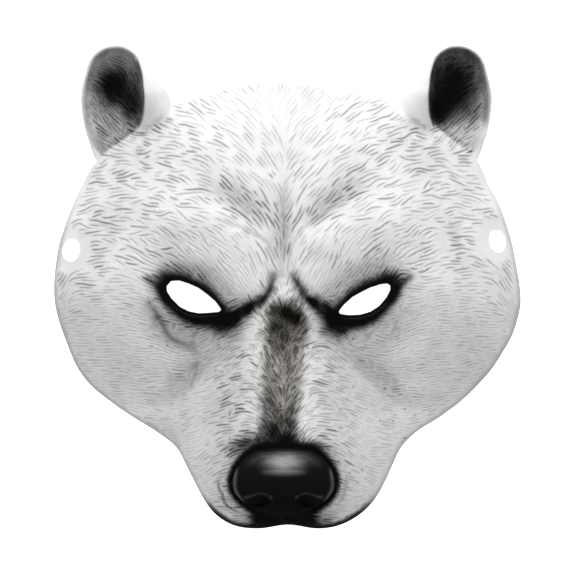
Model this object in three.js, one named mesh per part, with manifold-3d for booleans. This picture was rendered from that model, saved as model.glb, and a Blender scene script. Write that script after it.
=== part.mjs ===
// A polar bear masquerade mask: one moulded foam shell that lies on its rim, face up.
// X runs across the face, Y from the lip up to the ears, Z out of the face. Millimetres.
import * as THREE from "three";
import { mergeVertices } from "three/addons/utils/BufferGeometryUtils.js";
import Module from "manifold-3d";

// Driving sizes.
const MASK_WIDTH = 203; // cheek to cheek
const FACE_HEIGHT = 204; // twice the way from the lip to the eyes' level
const SKULL_HEIGHT = 43; // the brow's dome above the rim
const MUZZLE_HEIGHT = 76.5; // the muzzle's back above the rim
const NOSE_LIFT = 12.5; // the nose pad's front above the muzzle
const NOSE_WIDTH = 44.5;
const EAR_HEIGHT = 28; // the ear's inner lip above the rim
const RELIEF = 10; // what a share of 1 lifts or sinks in the table of face forms
const WALL = 2.5;
const RIM_EDGE = 2; // the trimmed edge, where the rim rests
const EYE_LENGTH = 25;
const LACE_HOLE = 10.5;
const LACE_FLAT = 11; // radius of the flat round each lace hole
const NOSTRIL_LENGTH = 11;
const NOSTRIL_DEPTH = 4;

// How finely the shell is meshed.
const FACE_COLUMNS = 38;
const FACE_ROWS = 42;
const EAR_SPOKES = 26;
const NOSE_SPOKES = 24;

const HALF_WIDTH = MASK_WIDTH / 2;
const HALF_HEIGHT = FACE_HEIGHT / 2;

// The trimmed outline from the top down to the lip: how far it lies left and right of the
// middle and how high up, in shares of the half width and half height, and how high the
// edge stands there, in shares of the skull's height.
const OUTLINE = [
  { left: 0.0, right: 0.0, y: 0.889, rise: 0 },
  { left: 0.16, right: 0.16, y: 0.876, rise: 0 },
  { left: 0.3, right: 0.3, y: 0.85, rise: 0 },
  { left: 0.42, right: 0.42, y: 0.817, rise: 0.05 },
  { left: 0.52, right: 0.52, y: 0.775, rise: 0.15 },
  { left: 0.6, right: 0.6, y: 0.705, rise: 0.2 },
  { left: 0.68, right: 0.68, y: 0.64, rise: 0.22 },
  { left: 0.76, right: 0.755, y: 0.585, rise: 0.2 },
  { left: 0.828, right: 0.818, y: 0.525, rise: 0.12 },
  { left: 0.88, right: 0.858, y: 0.44, rise: 0.02 },
  { left: 0.915, right: 0.898, y: 0.37, rise: 0 },
  { left: 0.953, right: 0.936, y: 0.27, rise: 0 },
  { left: 0.977, right: 0.958, y: 0.2, rise: 0 },
  { left: 0.996, right: 0.978, y: 0.1, rise: 0 },
  { left: 1.004, right: 0.995, y: 0.0, rise: 0 },
  { left: 1.0, right: 0.998, y: -0.07, rise: 0 },
  { left: 0.984, right: 0.984, y: -0.14, rise: 0 },
  { left: 0.96, right: 0.96, y: -0.21, rise: 0 },
  { left: 0.933, right: 0.92, y: -0.28, rise: 0 },
  { left: 0.903, right: 0.878, y: -0.345, rise: 0 },
  { left: 0.85, right: 0.817, y: -0.415, rise: 0 },
  { left: 0.767, right: 0.745, y: -0.483, rise: 0.05 },
  { left: 0.67, right: 0.655, y: -0.548, rise: 0.14 },
  { left: 0.553, right: 0.542, y: -0.615, rise: 0.35 },
  { left: 0.467, right: 0.474, y: -0.678, rise: 0.6 },
  { left: 0.427, right: 0.438, y: -0.741, rise: 0.84 },
  { left: 0.391, right: 0.405, y: -0.805, rise: 1.0 },
  { left: 0.354, right: 0.366, y: -0.869, rise: 1.12 },
  { left: 0.303, right: 0.301, y: -0.934, rise: 1.21 },
  { left: 0.224, right: 0.212, y: -0.98, rise: 1.28 },
  { left: 0.13, right: 0.13, y: -0.992, rise: 1.33 },
  { left: 0.0, right: 0.0, y: -0.976, rise: 1.35 },
];
const TOP_CORNER = 3; // rows of OUTLINE where the mesh turns from its top edge to its side
const LIP_CORNER = OUTLINE.length - 3; // and from its side to the lip

// The muzzle's back at stations down the face: its height in shares of the muzzle's height,
// and its half width where it has fallen by MUZZLE_FALL, in shares of the half width.
const MUZZLE = [
  { y: 0.14, back: 0.43, half: 0.12 },
  { y: 0.06, back: 0.52, half: 0.125 },
  { y: -0.01, back: 0.59, half: 0.13 },
  { y: -0.07, back: 0.64, half: 0.145 },
  { y: -0.18, back: 0.71, half: 0.17 },
  { y: -0.3, back: 0.79, half: 0.2 },
  { y: -0.46, back: 0.895, half: 0.25 },
  { y: -0.58, back: 0.96, half: 0.275 },
  { y: -0.68, back: 0.995, half: 0.285 },
  { y: -0.78, back: 1.0, half: 0.275 },
  { y: -0.88, back: 0.96, half: 0.262 },
  { y: -0.96, back: 0.865, half: 0.235 },
  { y: -1.02, back: 0.785, half: 0.2 },
];
const MUZZLE_FALL = 0.157 * MUZZLE_HEIGHT;
const MUZZLE_BLEND = 9; // how softly the muzzle runs into the dome
const MIDLINE = -0.018; // the face's middle leans a little to one side

// Soft lines pressed into or raised from both halves of the face: points from the midline
// outwards, half width, and height in shares of RELIEF.
const FACE_LINES = [
  { name: "brow", path: [[0.05, 0.05], [0.14, 0.15], [0.26, 0.245], [0.41, 0.295], [0.56, 0.27], [0.66, 0.19]], width: 0.115, height: 0.65 },
  { name: "frown furrow", path: [[0.06, 0.24], [0.14, 0.31], [0.25, 0.385], [0.36, 0.43]], width: 0.062, height: -0.26 },
  { name: "temple ridge", path: [[0.56, 0.44], [0.7, 0.38], [0.8, 0.26]], width: 0.07, height: 0.16 },
  { name: "temple hollow", path: [[0.62, 0.33], [0.72, 0.27], [0.8, 0.14]], width: 0.075, height: -0.18 },
  { name: "cheek fold", path: [[0.36, -0.25], [0.43, -0.4], [0.43, -0.56], [0.385, -0.68]], width: 0.085, height: -0.4 },
];
// Soft round forms on both halves.
const FACE_BUMPS = [
  { name: "forehead boss", x: 0.27, y: 0.56, rx: 0.2, ry: 0.15, turn: -20, height: 0.22 },
  { name: "cheek bone", x: 0.7, y: -0.14, rx: 0.2, ry: 0.2, turn: 0, height: 0.35 },
  { name: "whisker pad", x: 0.285, y: -0.82, rx: 0.11, ry: 0.15, turn: 12, height: 0.3 },
  { name: "lip pad", x: 0.16, y: -0.93, rx: 0.1, ry: 0.06, turn: 12, height: 0.2 },
];
const FROWN_LINE = { path: [[-0.002, 0.04], [0.0, 0.2], [0.004, 0.46]], width: 0.045, height: -0.2 };

// Each eye: its middle, length in shares of EYE_LENGTH and tilt.
const EYES = [
  { side: -1, x: -0.396, y: -0.049, length: 1.0, tilt: -22.5, up: "leftUp", down: "leftDown" },
  { side: 1, x: 0.322, y: -0.053, length: 0.975, tilt: 26.5, up: "rightUp", down: "rightDown" },
];
// The lids' edges from the outer corner, 1, to the inner one, -1: how far they stand from
// the line between the corners, in shares of the eye's length.
const LIDS = [
  { out: 1.0, leftUp: 0.02, leftDown: 0.02, rightUp: 0.02, rightDown: 0.02 },
  { out: 0.93, leftUp: 0.123, leftDown: -0.05, rightUp: 0.075, rightDown: -0.04 },
  { out: 0.7, leftUp: 0.18, leftDown: -0.13, rightUp: 0.11, rightDown: -0.125 },
  { out: 0.35, leftUp: 0.196, leftDown: -0.205, rightUp: 0.137, rightDown: -0.2 },
  { out: 0.0, leftUp: 0.192, leftDown: -0.22, rightUp: 0.137, rightDown: -0.22 },
  { out: -0.35, leftUp: 0.152, leftDown: -0.185, rightUp: 0.128, rightDown: -0.19 },
  { out: -0.7, leftUp: 0.096, leftDown: -0.1, rightUp: 0.082, rightDown: -0.115 },
  { out: -0.93, leftUp: 0.03, leftDown: -0.04, rightUp: 0.03, rightDown: -0.04 },
  { out: -1.0, leftUp: 0.0, leftDown: 0.0, rightUp: 0.0, rightDown: 0.0 },
];
const EYE_FORMS = {
  socket: { rx: 0.85, ry: 0.56, height: -0.55 },
  lids: { rx: 0.59, ry: 0.36, height: 0.24 },
  bag: { path: [[-0.52, -0.42], [0, -0.6], [0.52, -0.52], [0.8, -0.28]], width: 0.26, height: 0.1 },
  crease: { path: [[-0.4, -0.82], [0.12, -0.96], [0.64, -0.76], [1.0, -0.3]], width: 0.19, height: -0.09 },
};

// Lace holes, on the flanks level with the temples.
const LACES = [
  { x: -0.927, y: 0.157 },
  { x: 0.895, y: 0.195 },
];
const LACE_LEAN = 0.5; // how far the punch leans from upright towards square to the wall

// The ear as spokes round its cup's middle, anticlockwise for the ear at -X: the lip that
// rings the cup and the trimmed edge beyond it, in shares of the half width, with their
// heights in shares of EAR_HEIGHT. From the first row to turn -40 both lie in the head's wall.
const EAR_MIDDLE = { x: -0.719, y: 0.81 };
const EAR_FLOOR = 0.32;
const RIGHT_EAR_IN = 0.013; // how much nearer the middle the right ear stands
const EAR = [
  { turn: -107, lip: 0.27, edge: 0.305, lipHeight: 0.26, edgeHeight: 0.25 },
  { turn: -90, lip: 0.205, edge: 0.24, lipHeight: 0.35, edgeHeight: 0.34 },
  { turn: -70, lip: 0.182, edge: 0.225, lipHeight: 0.37, edgeHeight: 0.35 },
  { turn: -55, lip: 0.158, edge: 0.22, lipHeight: 0.48, edgeHeight: 0.34 },
  { turn: -40, lip: 0.14, edge: 0.22, lipHeight: 0.68, edgeHeight: 0.36 },
  { turn: -20, lip: 0.122, edge: 0.238, lipHeight: 0.88, edgeHeight: 0.32 },
  { turn: 0, lip: 0.117, edge: 0.213, lipHeight: 1.0, edgeHeight: 0.3 },
  { turn: 20, lip: 0.12, edge: 0.178, lipHeight: 0.99, edgeHeight: 0.36 },
  { turn: 45, lip: 0.145, edge: 0.163, lipHeight: 0.93, edgeHeight: 0.55 },
  { turn: 68, lip: 0.186, edge: 0.194, lipHeight: 0.88, edgeHeight: 0.72 },
  { turn: 90, lip: 0.205, edge: 0.213, lipHeight: 0.84, edgeHeight: 0.7 },
  { turn: 120, lip: 0.197, edge: 0.205, lipHeight: 0.76, edgeHeight: 0.62 },
  { turn: 150, lip: 0.16, edge: 0.168, lipHeight: 0.68, edgeHeight: 0.54 },
  { turn: 180, lip: 0.155, edge: 0.163, lipHeight: 0.6, edgeHeight: 0.46 },
  { turn: 210, lip: 0.174, edge: 0.182, lipHeight: 0.5, edgeHeight: 0.38 },
  { turn: 235, lip: 0.224, edge: 0.232, lipHeight: 0.38, edgeHeight: 0.3 },
];
// Rings from the cup's middle to its lip: distance in shares of the lip's, and how far the
// floor has climbed to the lip there.
const EAR_RINGS = [
  { out: 0.34, climb: 0.03 },
  { out: 0.64, climb: 0.18 },
  { out: 0.86, climb: 0.56 },
];

// The nose pad at stations down the face: height in shares of NOSE_LIFT above the
// muzzle's height, and half width in shares of the nose's half width.
const NOSE_X = -0.018;
const NOSE = [
  { y: -0.648, lift: -0.1, half: 0.6 },
  { y: -0.68, lift: 0.32, half: 0.84 },
  { y: -0.72, lift: 0.68, half: 0.93 },
  { y: -0.77, lift: 0.92, half: 0.98 },
  { y: -0.825, lift: 1.0, half: 1.0 },
  { y: -0.875, lift: 0.84, half: 0.95 },
  { y: -0.915, lift: 0.44, half: 0.84 },
  { y: -0.948, lift: -0.3, half: 0.55 },
];
const NOSE_ROUND = 0.2 * NOSE_WIDTH; // how far the pad falls from its middle to its sides
const NOSTRIL = { x: 0.108, y: -0.868, tilt: -12, width: 0.5, depth: 1 };

const clamp = THREE.MathUtils.clamp;
const radians = THREE.MathUtils.degToRad;
const mix = THREE.MathUtils.lerp;

// A smooth curve through a table's rows: the value of one column where another has key.
function read(rows, key, column, at) {
  const order = rows[0][key] < rows[1][key] ? rows : [...rows].reverse();
  const x = clamp(at, order[0][key], order[order.length - 1][key]);
  let i = 0;
  while (i < order.length - 2 && x > order[i + 1][key]) i++;
  const slope = (a, b) => (order[b][column] - order[a][column]) / (order[b][key] - order[a][key]);
  const here = slope(i, i + 1);
  const before = i > 0 ? (slope(i - 1, i) + here) / 2 : here;
  const after = i < order.length - 2 ? (here + slope(i + 1, i + 2)) / 2 : here;
  const span = order[i + 1][key] - order[i][key];
  const s = (x - order[i][key]) / span;
  return (
    (2 * s ** 3 - 3 * s ** 2 + 1) * order[i][column] +
    (s ** 3 - 2 * s ** 2 + s) * span * before +
    (3 * s ** 2 - 2 * s ** 3) * order[i + 1][column] +
    (s ** 3 - s ** 2) * span * after
  );
}

function softMax(a, b, blend) {
  return 0.5 * (a + b + Math.hypot(a - b, blend));
}

// Evenly spaced round bumps along a path, which add up to one soft line. Each is smaller
// near the path's ends.
const END_TAPER = 0.25;
function lineBumps(path, width, height) {
  const curve = new THREE.CatmullRomCurve3(path.map(([x, y]) => new THREE.Vector3(x, y, 0)), false, "catmullrom", 0.5);
  const length = curve.getLength();
  const count = Math.max(3, Math.ceil(length / (0.55 * width)));
  return Array.from({ length: count }, (_, i) => {
    const along = (i + 0.5) / count;
    const at = curve.getPointAt(along);
    const ease = THREE.MathUtils.smoothstep(Math.min(along, 1 - along) / END_TAPER, 0, 1);
    const share = (length / count / (width * Math.sqrt(Math.PI))) * (0.1 + 0.9 * ease);
    return { x: at.x, y: at.y, rx: width, ry: width, turn: 0, height: height * share, power: 1 };
  });
}

// A bump's height at a point, falling away as a bell; power 2 and more gives it a flat top.
function bump({ x, y, rx, ry, turn, height, power = 1 }, px, py) {
  const c = Math.cos(radians(turn));
  const s = Math.sin(radians(turn));
  const a = ((px - x) * c + (py - y) * s) / rx;
  const b = (-(px - x) * s + (py - y) * c) / ry;
  return height * Math.exp(-((a * a + b * b) ** power));
}

// All the face's local forms as one list of bumps, in shares.
function faceForms() {
  const forms = [];
  for (const side of [-1, 1]) {
    for (const line of FACE_LINES) {
      const path = line.path.map(([x, y]) => [MIDLINE + side * x, y]);
      forms.push(...lineBumps(path, line.width, line.height));
    }
    for (const f of FACE_BUMPS) forms.push({ ...f, x: MIDLINE + side * f.x, turn: side * f.turn });
  }
  forms.push(...lineBumps(FROWN_LINE.path.map(([x, y]) => [MIDLINE + x, y]), FROWN_LINE.width, FROWN_LINE.height));
  const unit = EYE_LENGTH / HALF_WIDTH;
  for (const eye of EYES) {
    const place = ([out, up]) => {
      const c = Math.cos(radians(eye.tilt));
      const s = Math.sin(radians(eye.tilt));
      const along = eye.side * out * unit;
      return [eye.x + c * along - s * up * unit, eye.y + s * along + c * up * unit];
    };
    const { socket, lids, bag, crease } = EYE_FORMS;
    const oval = (f, power) =>
      forms.push({ x: eye.x, y: eye.y, rx: f.rx * unit, ry: f.ry * unit, turn: eye.tilt, height: f.height, power });
    oval(socket, 2);
    oval(lids, 2.5);
    for (const f of [bag, crease]) forms.push(...lineBumps(f.path.map(place), f.width * unit, f.height));
  }
  return forms;
}
const FORMS = faceForms();

// The dome, the muzzle run into it, and the local forms.
function skull(x, y) {
  const middle = 0.06;
  const tall = y > middle ? 0.845 : 0.8;
  const out = (Math.abs(x) ** 2.25 + Math.abs((y - middle) / tall) ** 2.25) ** (1 / 2.25);
  return SKULL_HEIGHT * (1 - out ** 2.3);
}
function muzzle(x, y) {
  const half = read(MUZZLE, "y", "half", y);
  const fade = Math.max(0, y - 0.1) * 90;
  return MUZZLE_HEIGHT * read(MUZZLE, "y", "back", y) - MUZZLE_FALL * (Math.abs(x - MIDLINE) / half) ** 2.1 - fade;
}
function relief(x, y) {
  const forms = FORMS.reduce((sum, f) => sum + bump(f, x, y), 0);
  return softMax(skull(x, y), muzzle(x, y), MUZZLE_BLEND) + RELIEF * forms;
}

// The outline's distance and edge height by direction from the middle, for the pull that
// brings the face down to its trimmed edge.
const towards = (x, { y, rise }) => {
  const turn = Math.atan2(x, y);
  return { turn: turn < 0 ? turn + 2 * Math.PI : turn, reach: Math.hypot(x, y), rise };
};
const AROUND = [
  ...OUTLINE.map((p) => towards(p.right, p)),
  ...OUTLINE.slice(1, -1).reverse().map((p) => towards(-p.left, p)),
];
const CIRCLE = [
  ...AROUND.slice(-2).map((p) => ({ ...p, turn: p.turn - 2 * Math.PI })),
  ...AROUND,
  ...AROUND.slice(0, 3).map((p) => ({ ...p, turn: p.turn + 2 * Math.PI })),
];
const EDGE_STEPS = 360;
const EDGE = Array.from({ length: EDGE_STEPS + 1 }, (_, i) => {
  const turn = (i / EDGE_STEPS) * 2 * Math.PI;
  const reach = read(CIRCLE, "turn", "reach", turn);
  const wanted = RIM_EDGE + SKULL_HEIGHT * read(CIRCLE, "turn", "rise", turn);
  return { reach, pull: wanted - relief(reach * Math.sin(turn), reach * Math.cos(turn)) };
});
const PULL_POWER = 12; // the pull acts on the outer tenth of the face alone
function surface(x, y) {
  const turn = Math.atan2(x, y);
  const at = ((turn < 0 ? turn + 2 * Math.PI : turn) / (2 * Math.PI)) * EDGE_STEPS;
  const i = Math.min(Math.floor(at), EDGE_STEPS - 1);
  const reach = mix(EDGE[i].reach, EDGE[i + 1].reach, at - i);
  const pull = mix(EDGE[i].pull, EDGE[i + 1].pull, at - i);
  return relief(x, y) + pull * clamp(Math.hypot(x, y) / reach, 0, 1.02) ** PULL_POWER;
}

// The face's height in millimetres at a point in millimetres, with a flat round each lace
// hole, and how fast it falls there.
const STEP = 0.2;
function slopeOf(height, x, y) {
  return {
    x: (height(x + STEP, y) - height(x - STEP, y)) / (2 * STEP),
    y: (height(x, y + STEP) - height(x, y - STEP)) / (2 * STEP),
  };
}
const bare = (x, y) => surface(x / HALF_WIDTH, y / HALF_HEIGHT);
const LACE_SEATS = LACES.map((lace) => {
  const x = lace.x * HALF_WIDTH;
  const y = lace.y * HALF_HEIGHT;
  return { x, y, z: bare(x, y), slope: slopeOf(bare, x, y) };
});
function faceHeight(x, y) {
  let z = bare(x, y);
  for (const seat of LACE_SEATS) {
    const away = Math.hypot(x - seat.x, y - seat.y);
    const flat = 1 - THREE.MathUtils.smoothstep(away, LACE_FLAT, 1.7 * LACE_FLAT);
    const plane = seat.z + seat.slope.x * (x - seat.x) + seat.slope.y * (y - seat.y);
    z = mix(z, plane, flat);
  }
  return z;
}
const STEEPEST = 2.4; // the wall is measured square to the surface up to this slope
const EAR_STEEPEST = 1.6;
function wallBelow(height, x, y) {
  const slope = slopeOf(height, x, y);
  return height(x, y) - WALL * Math.min(Math.hypot(1, slope.x, slope.y), STEEPEST);
}

// Turns a closed mesh into a solid.
const wasm = await Module();
wasm.setup();
function solid(positions, triangles) {
  const geometry = new THREE.BufferGeometry();
  geometry.setAttribute("position", new THREE.Float32BufferAttribute(positions, 3));
  geometry.setIndex(triangles);
  return solidOf(geometry);
}
function solidOf(geometry) {
  const plain = geometry.clone();
  for (const extra of ["normal", "uv"]) plain.deleteAttribute(extra);
  const merged = mergeVertices(plain, 1e-4);
  const mesh = new wasm.Mesh({
    numProp: 3,
    vertProperties: new Float32Array(merged.attributes.position.array),
    triVerts: new Uint32Array(merged.index.array),
  });
  return new wasm.Manifold(mesh);
}

// A slab over a grid of points: top and bottom are functions of a point, and the sides are
// upright. rows[j][i] is a point, i runs along +X and j along +Y. Each quad is split along
// the diagonal that lies nearer to the top surface.
function slab(rows, top, bottom) {
  const across = rows[0].length;
  const positions = [];
  const triangles = [];
  for (const height of [top, bottom]) {
    for (const row of rows) for (const [x, y] of row) positions.push(x, y, height(x, y));
  }
  const layer = rows.length * across;
  const at = (i, j, low) => j * across + i + (low ? layer : 0);
  const quad = (a, b, c, d) => triangles.push(a, b, c, a, c, d);
  const miss = (a, b) => {
    const [p, q] = [a, b].map((k) => positions.slice(3 * k, 3 * k + 3));
    return Math.abs(top((p[0] + q[0]) / 2, (p[1] + q[1]) / 2) - (p[2] + q[2]) / 2);
  };
  for (let j = 0; j + 1 < rows.length; j++) {
    for (let i = 0; i + 1 < across; i++) {
      const [a, b, c, d] = [[i, j], [i + 1, j], [i + 1, j + 1], [i, j + 1]].map(([u, v]) => at(u, v));
      if (miss(a, c) <= miss(b, d)) {
        quad(a, b, c, d);
        quad(a + layer, d + layer, c + layer, b + layer);
      } else {
        quad(b, c, d, a);
        quad(b + layer, a + layer, d + layer, c + layer);
      }
    }
    quad(at(0, j), at(0, j + 1), at(0, j + 1, 1), at(0, j, 1));
    quad(at(across - 1, j + 1), at(across - 1, j), at(across - 1, j, 1), at(across - 1, j + 1, 1));
  }
  const last = rows.length - 1;
  for (let i = 0; i + 1 < across; i++) {
    quad(at(i + 1, 0), at(i, 0), at(i, 0, 1), at(i + 1, 0, 1));
    quad(at(i, last), at(i + 1, last), at(i + 1, last, 1), at(i, last, 1));
  }
  return solid(positions, triangles);
}

// A slab over spokes: layers of rings from the middle outwards, each point [x, y, top, bottom].
function spokedSlab(middle, rings) {
  const spokes = rings[0].length;
  const points = [middle, ...rings.flat()];
  const positions = [];
  for (const level of [2, 3]) for (const p of points) positions.push(p[0], p[1], p[level]);
  const triangles = [];
  const at = (ring, k, low) => (ring < 0 ? 0 : 1 + ring * spokes + (k % spokes)) + (low ? points.length : 0);
  for (let k = 0; k < spokes; k++) {
    triangles.push(at(-1, 0), at(0, k), at(0, k + 1));
    triangles.push(at(-1, 0, 1), at(0, k + 1, 1), at(0, k, 1));
    for (let r = 0; r + 1 < rings.length; r++) {
      triangles.push(at(r, k), at(r + 1, k), at(r + 1, k + 1), at(r, k), at(r + 1, k + 1), at(r, k + 1));
      triangles.push(at(r, k, 1), at(r + 1, k + 1, 1), at(r + 1, k, 1));
      triangles.push(at(r, k, 1), at(r, k + 1, 1), at(r + 1, k + 1, 1));
    }
    const r = rings.length - 1;
    triangles.push(at(r, k), at(r, k, 1), at(r, k + 1, 1), at(r, k), at(r, k + 1, 1), at(r, k + 1));
  }
  return solid(positions, triangles);
}

// The face's grid: rows run from one side of the outline to the other, bowed near the top
// edge and the lip so that the first and last rows follow them.
function faceGrid() {
  const curve = (rows, side) => {
    const points = rows.map((p) => new THREE.Vector3(p[side] * HALF_WIDTH, p.y * HALF_HEIGHT, 0));
    return new THREE.CatmullRomCurve3(points, false, "catmullrom", 0.5);
  };
  const sides = ["left", "right"].map((side) => ({
    top: curve(OUTLINE.slice(0, TOP_CORNER + 1), side),
    flank: curve(OUTLINE.slice(TOP_CORNER, LIP_CORNER + 1), side),
    lip: curve(OUTLINE.slice(LIP_CORNER).reverse(), side),
  }));
  const bow = (edge, across, row) => edge.getPointAt(Math.min(Math.abs(across), 1)).y - OUTLINE[row].y * HALF_HEIGHT;
  return Array.from({ length: FACE_ROWS + 1 }, (_, j) => {
    const up = j / FACE_ROWS;
    const nearTop = clamp(1 - (1 - up) / 0.3, 0, 1) ** 2;
    const nearLip = clamp(1 - up / 0.2, 0, 1) ** 2;
    return Array.from({ length: FACE_COLUMNS + 1 }, (_, i) => {
      const even = (2 * i) / FACE_COLUMNS - 1;
      const across = mix(even, Math.sin((Math.PI / 2) * even), -0.35);
      const { top, flank, lip } = sides[across < 0 ? 0 : 1];
      const end = flank.getPoint(1 - up);
      return [across * end.x, end.y + nearTop * bow(top, across, TOP_CORNER) + nearLip * bow(lip, across, LIP_CORNER)];
    });
  });
}

// One ear: a cup with a raised lip, whose back slopes down to the trimmed edge.
function ear() {
  const turns = [...EAR, { ...EAR[0], turn: EAR[0].turn + 360 }];
  const value = (turn, column) => read(turns, "turn", column, turn);
  const middle = [EAR_MIDDLE.x * HALF_WIDTH, EAR_MIDDLE.y * HALF_HEIGHT];
  const floor = EAR_FLOOR * EAR_HEIGHT;
  const spoke = (turn) => {
    const lip = HALF_WIDTH * value(turn, "lip");
    const lipHeight = EAR_HEIGHT * value(turn, "lipHeight");
    const stations = [
      { reach: 0, z: floor },
      ...EAR_RINGS.map(({ out, climb }) => ({ reach: out * lip, z: mix(floor, lipHeight, climb) })),
      { reach: lip, z: lipHeight },
      { reach: HALF_WIDTH * value(turn, "edge"), z: EAR_HEIGHT * value(turn, "edgeHeight") },
    ];
    const steepness = (a, b) => Math.hypot(1, (b.z - a.z) / (b.reach - a.reach));
    return stations.slice(1).map(({ reach, z }, i) => {
      const inward = steepness(stations[i], stations[i + 1]);
      const outward = stations[i + 2] ? steepness(stations[i + 1], stations[i + 2]) : inward;
      const x = middle[0] + reach * Math.cos(radians(turn));
      const y = middle[1] + reach * Math.sin(radians(turn));
      return [x, y, z, z - WALL * Math.min(Math.max(inward, outward), EAR_STEEPEST)];
    });
  };
  const spokes = Array.from({ length: EAR_SPOKES }, (_, k) => spoke(EAR[0].turn + (360 * k) / EAR_SPOKES));
  return spokedSlab([...middle, floor, floor - WALL], spokes[0].map((_, r) => spokes.map((s) => s[r])));
}

// The nose pad, with its foot inside the muzzle's wall; and the hollow behind it, inset on
// all sides and reaching down into the muzzle's own hollow.
function nosePad(inset, foot) {
  const half = NOSE_WIDTH / 2;
  const middleX = NOSE_X * HALF_WIDTH;
  const low = NOSE[NOSE.length - 1].y * HALF_HEIGHT;
  const high = NOSE[0].y * HALF_HEIGHT;
  const middleY = (low + high) / 2;
  const height = (x, y) => {
    const across = Math.abs(x - middleX) / (half * read(NOSE, "y", "half", y / HALF_HEIGHT));
    const fall = NOSE_ROUND * (0.3 * across ** 2 + across ** 5);
    return MUZZLE_HEIGHT + NOSE_LIFT * read(NOSE, "y", "lift", y / HALF_HEIGHT) - fall;
  };
  const spokes = inset ? NOSE_SPOKES / 2 : NOSE_SPOKES;
  const edgeAt = (k) => {
    const turn = (2 * Math.PI * (k + 0.5)) / spokes;
    const y = middleY + ((high - low) / 2) * Math.sin(turn);
    const square = Math.sign(Math.cos(turn)) * Math.abs(Math.cos(turn)) ** 0.35;
    return [square * half * read(NOSE, "y", "half", y / HALF_HEIGHT), y - middleY];
  };
  const point = (x, y) => {
    const bottom = foot(x, y);
    return [x, y, Math.max(height(x, y) - inset, bottom + 0.16 * WALL), bottom];
  };
  const outs = inset ? [0.6, 1] : [0.3, 0.6, 0.82, 0.94, 1];
  const rings = outs.map((out) =>
    Array.from({ length: spokes }, (_, k) => {
      const [ex, ey] = edgeAt(k);
      const within = out * (1 - inset / half);
      return point(middleX + within * ex, middleY + within * ey);
    }),
  );
  return spokedSlab(point(middleX, middleY), rings);
}

// Cutters.
function eyeCutter(eye) {
  const length = EYE_LENGTH * eye.length;
  const corner = (row, lid) => new THREE.Vector2((eye.side * row.out * length) / 2, row[lid] * length);
  const points = [...LIDS.map((row) => corner(row, eye.up)), ...LIDS.slice(1, -1).reverse().map((row) => corner(row, eye.down))];
  const outline = new THREE.Shape(points);
  const cutter = new THREE.ExtrudeGeometry(outline, { depth: 2 * SKULL_HEIGHT, bevelEnabled: false });
  cutter.rotateZ(radians(eye.tilt));
  cutter.translate(eye.x * HALF_WIDTH, eye.y * HALF_HEIGHT, 0);
  return solidOf(cutter);
}
function laceCutter(seat) {
  const cutter = new THREE.CylinderGeometry(LACE_HOLE / 2, LACE_HOLE / 2, 8 * WALL, 20);
  const lean = new THREE.Vector3(-LACE_LEAN * seat.slope.x, -LACE_LEAN * seat.slope.y, 1).normalize();
  cutter.applyQuaternion(new THREE.Quaternion().setFromUnitVectors(new THREE.Vector3(0, 1, 0), lean));
  cutter.translate(seat.x, seat.y, seat.z);
  return solidOf(cutter);
}
function nostrilCutter(side) {
  const cutter = new THREE.SphereGeometry(NOSTRIL_LENGTH / 2, 14, 10);
  cutter.scale(1, NOSTRIL.width, (2 * NOSTRIL_DEPTH) / NOSTRIL_LENGTH);
  cutter.rotateZ(radians(side * NOSTRIL.tilt));
  const x = (NOSE_X + side * NOSTRIL.x) * HALF_WIDTH;
  const y = NOSTRIL.y * HALF_HEIGHT;
  const z = MUZZLE_HEIGHT + NOSE_LIFT * read(NOSE, "y", "lift", NOSTRIL.y) - 1;
  cutter.translate(x, y, z);
  return solidOf(cutter);
}
const FLOOR_DEPTH = 4 * SKULL_HEIGHT;
function belowTheRim() {
  const slabBelow = new THREE.BoxGeometry(2 * MASK_WIDTH, 2 * FACE_HEIGHT, FLOOR_DEPTH);
  slabBelow.translate(0, 0, -FLOOR_DEPTH / 2);
  return solidOf(slabBelow);
}

// The shell: face and ears as one wall, with the nose on it and the holes through it.
const grid = faceGrid();
const under = (x, y) => wallBelow(faceHeight, x, y);
const hollow = slab(grid, under, () => -FLOOR_DEPTH / 2);
const leftEar = ear().subtract(hollow);
const rightEar = leftEar.mirror([1, 0, 0]).translate([-RIGHT_EAR_IN * HALF_WIDTH, 0, 0]);
const pad = nosePad(0, (x, y) => faceHeight(x, y) - 0.5 * WALL);
const behindPad = nosePad(WALL + NOSTRIL_DEPTH, (x, y) => under(x, y) - WALL);
let shell = slab(grid, faceHeight, under).add(leftEar).add(rightEar).add(pad).subtract(behindPad);
for (const eye of EYES) shell = shell.subtract(eyeCutter(eye));
for (const seat of LACE_SEATS) shell = shell.subtract(laceCutter(seat));
for (const side of [-1, 1]) shell = shell.subtract(nostrilCutter(side));
shell = shell.subtract(belowTheRim());

// The finished solid as one mesh, centred over its rim.
function meshOf(name, made, material) {
  const { numProp, vertProperties, triVerts } = made.getMesh();
  const count = vertProperties.length / numProp;
  const positions = Array.from({ length: count }, (_, i) => [...vertProperties.subarray(i * numProp, i * numProp + 3)]);
  const geometry = new THREE.BufferGeometry();
  geometry.setAttribute("position", new THREE.Float32BufferAttribute(positions.flat(), 3));
  geometry.setIndex([...triVerts]);
  geometry.computeVertexNormals();
  geometry.computeBoundingBox();
  const middle = geometry.boundingBox.getCenter(new THREE.Vector3());
  const mesh = new THREE.Mesh(geometry, material);
  mesh.name = name;
  mesh.position.set(-middle.x, -middle.y, -geometry.boundingBox.min.z);
  return mesh;
}

const paintedFoam = new THREE.MeshStandardMaterial({ color: 0xe4e6e6, roughness: 0.75, metalness: 0 });
const mask = new THREE.Group();
mask.add(meshOf("mask_shell", shell, paintedFoam));

export default mask;
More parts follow.
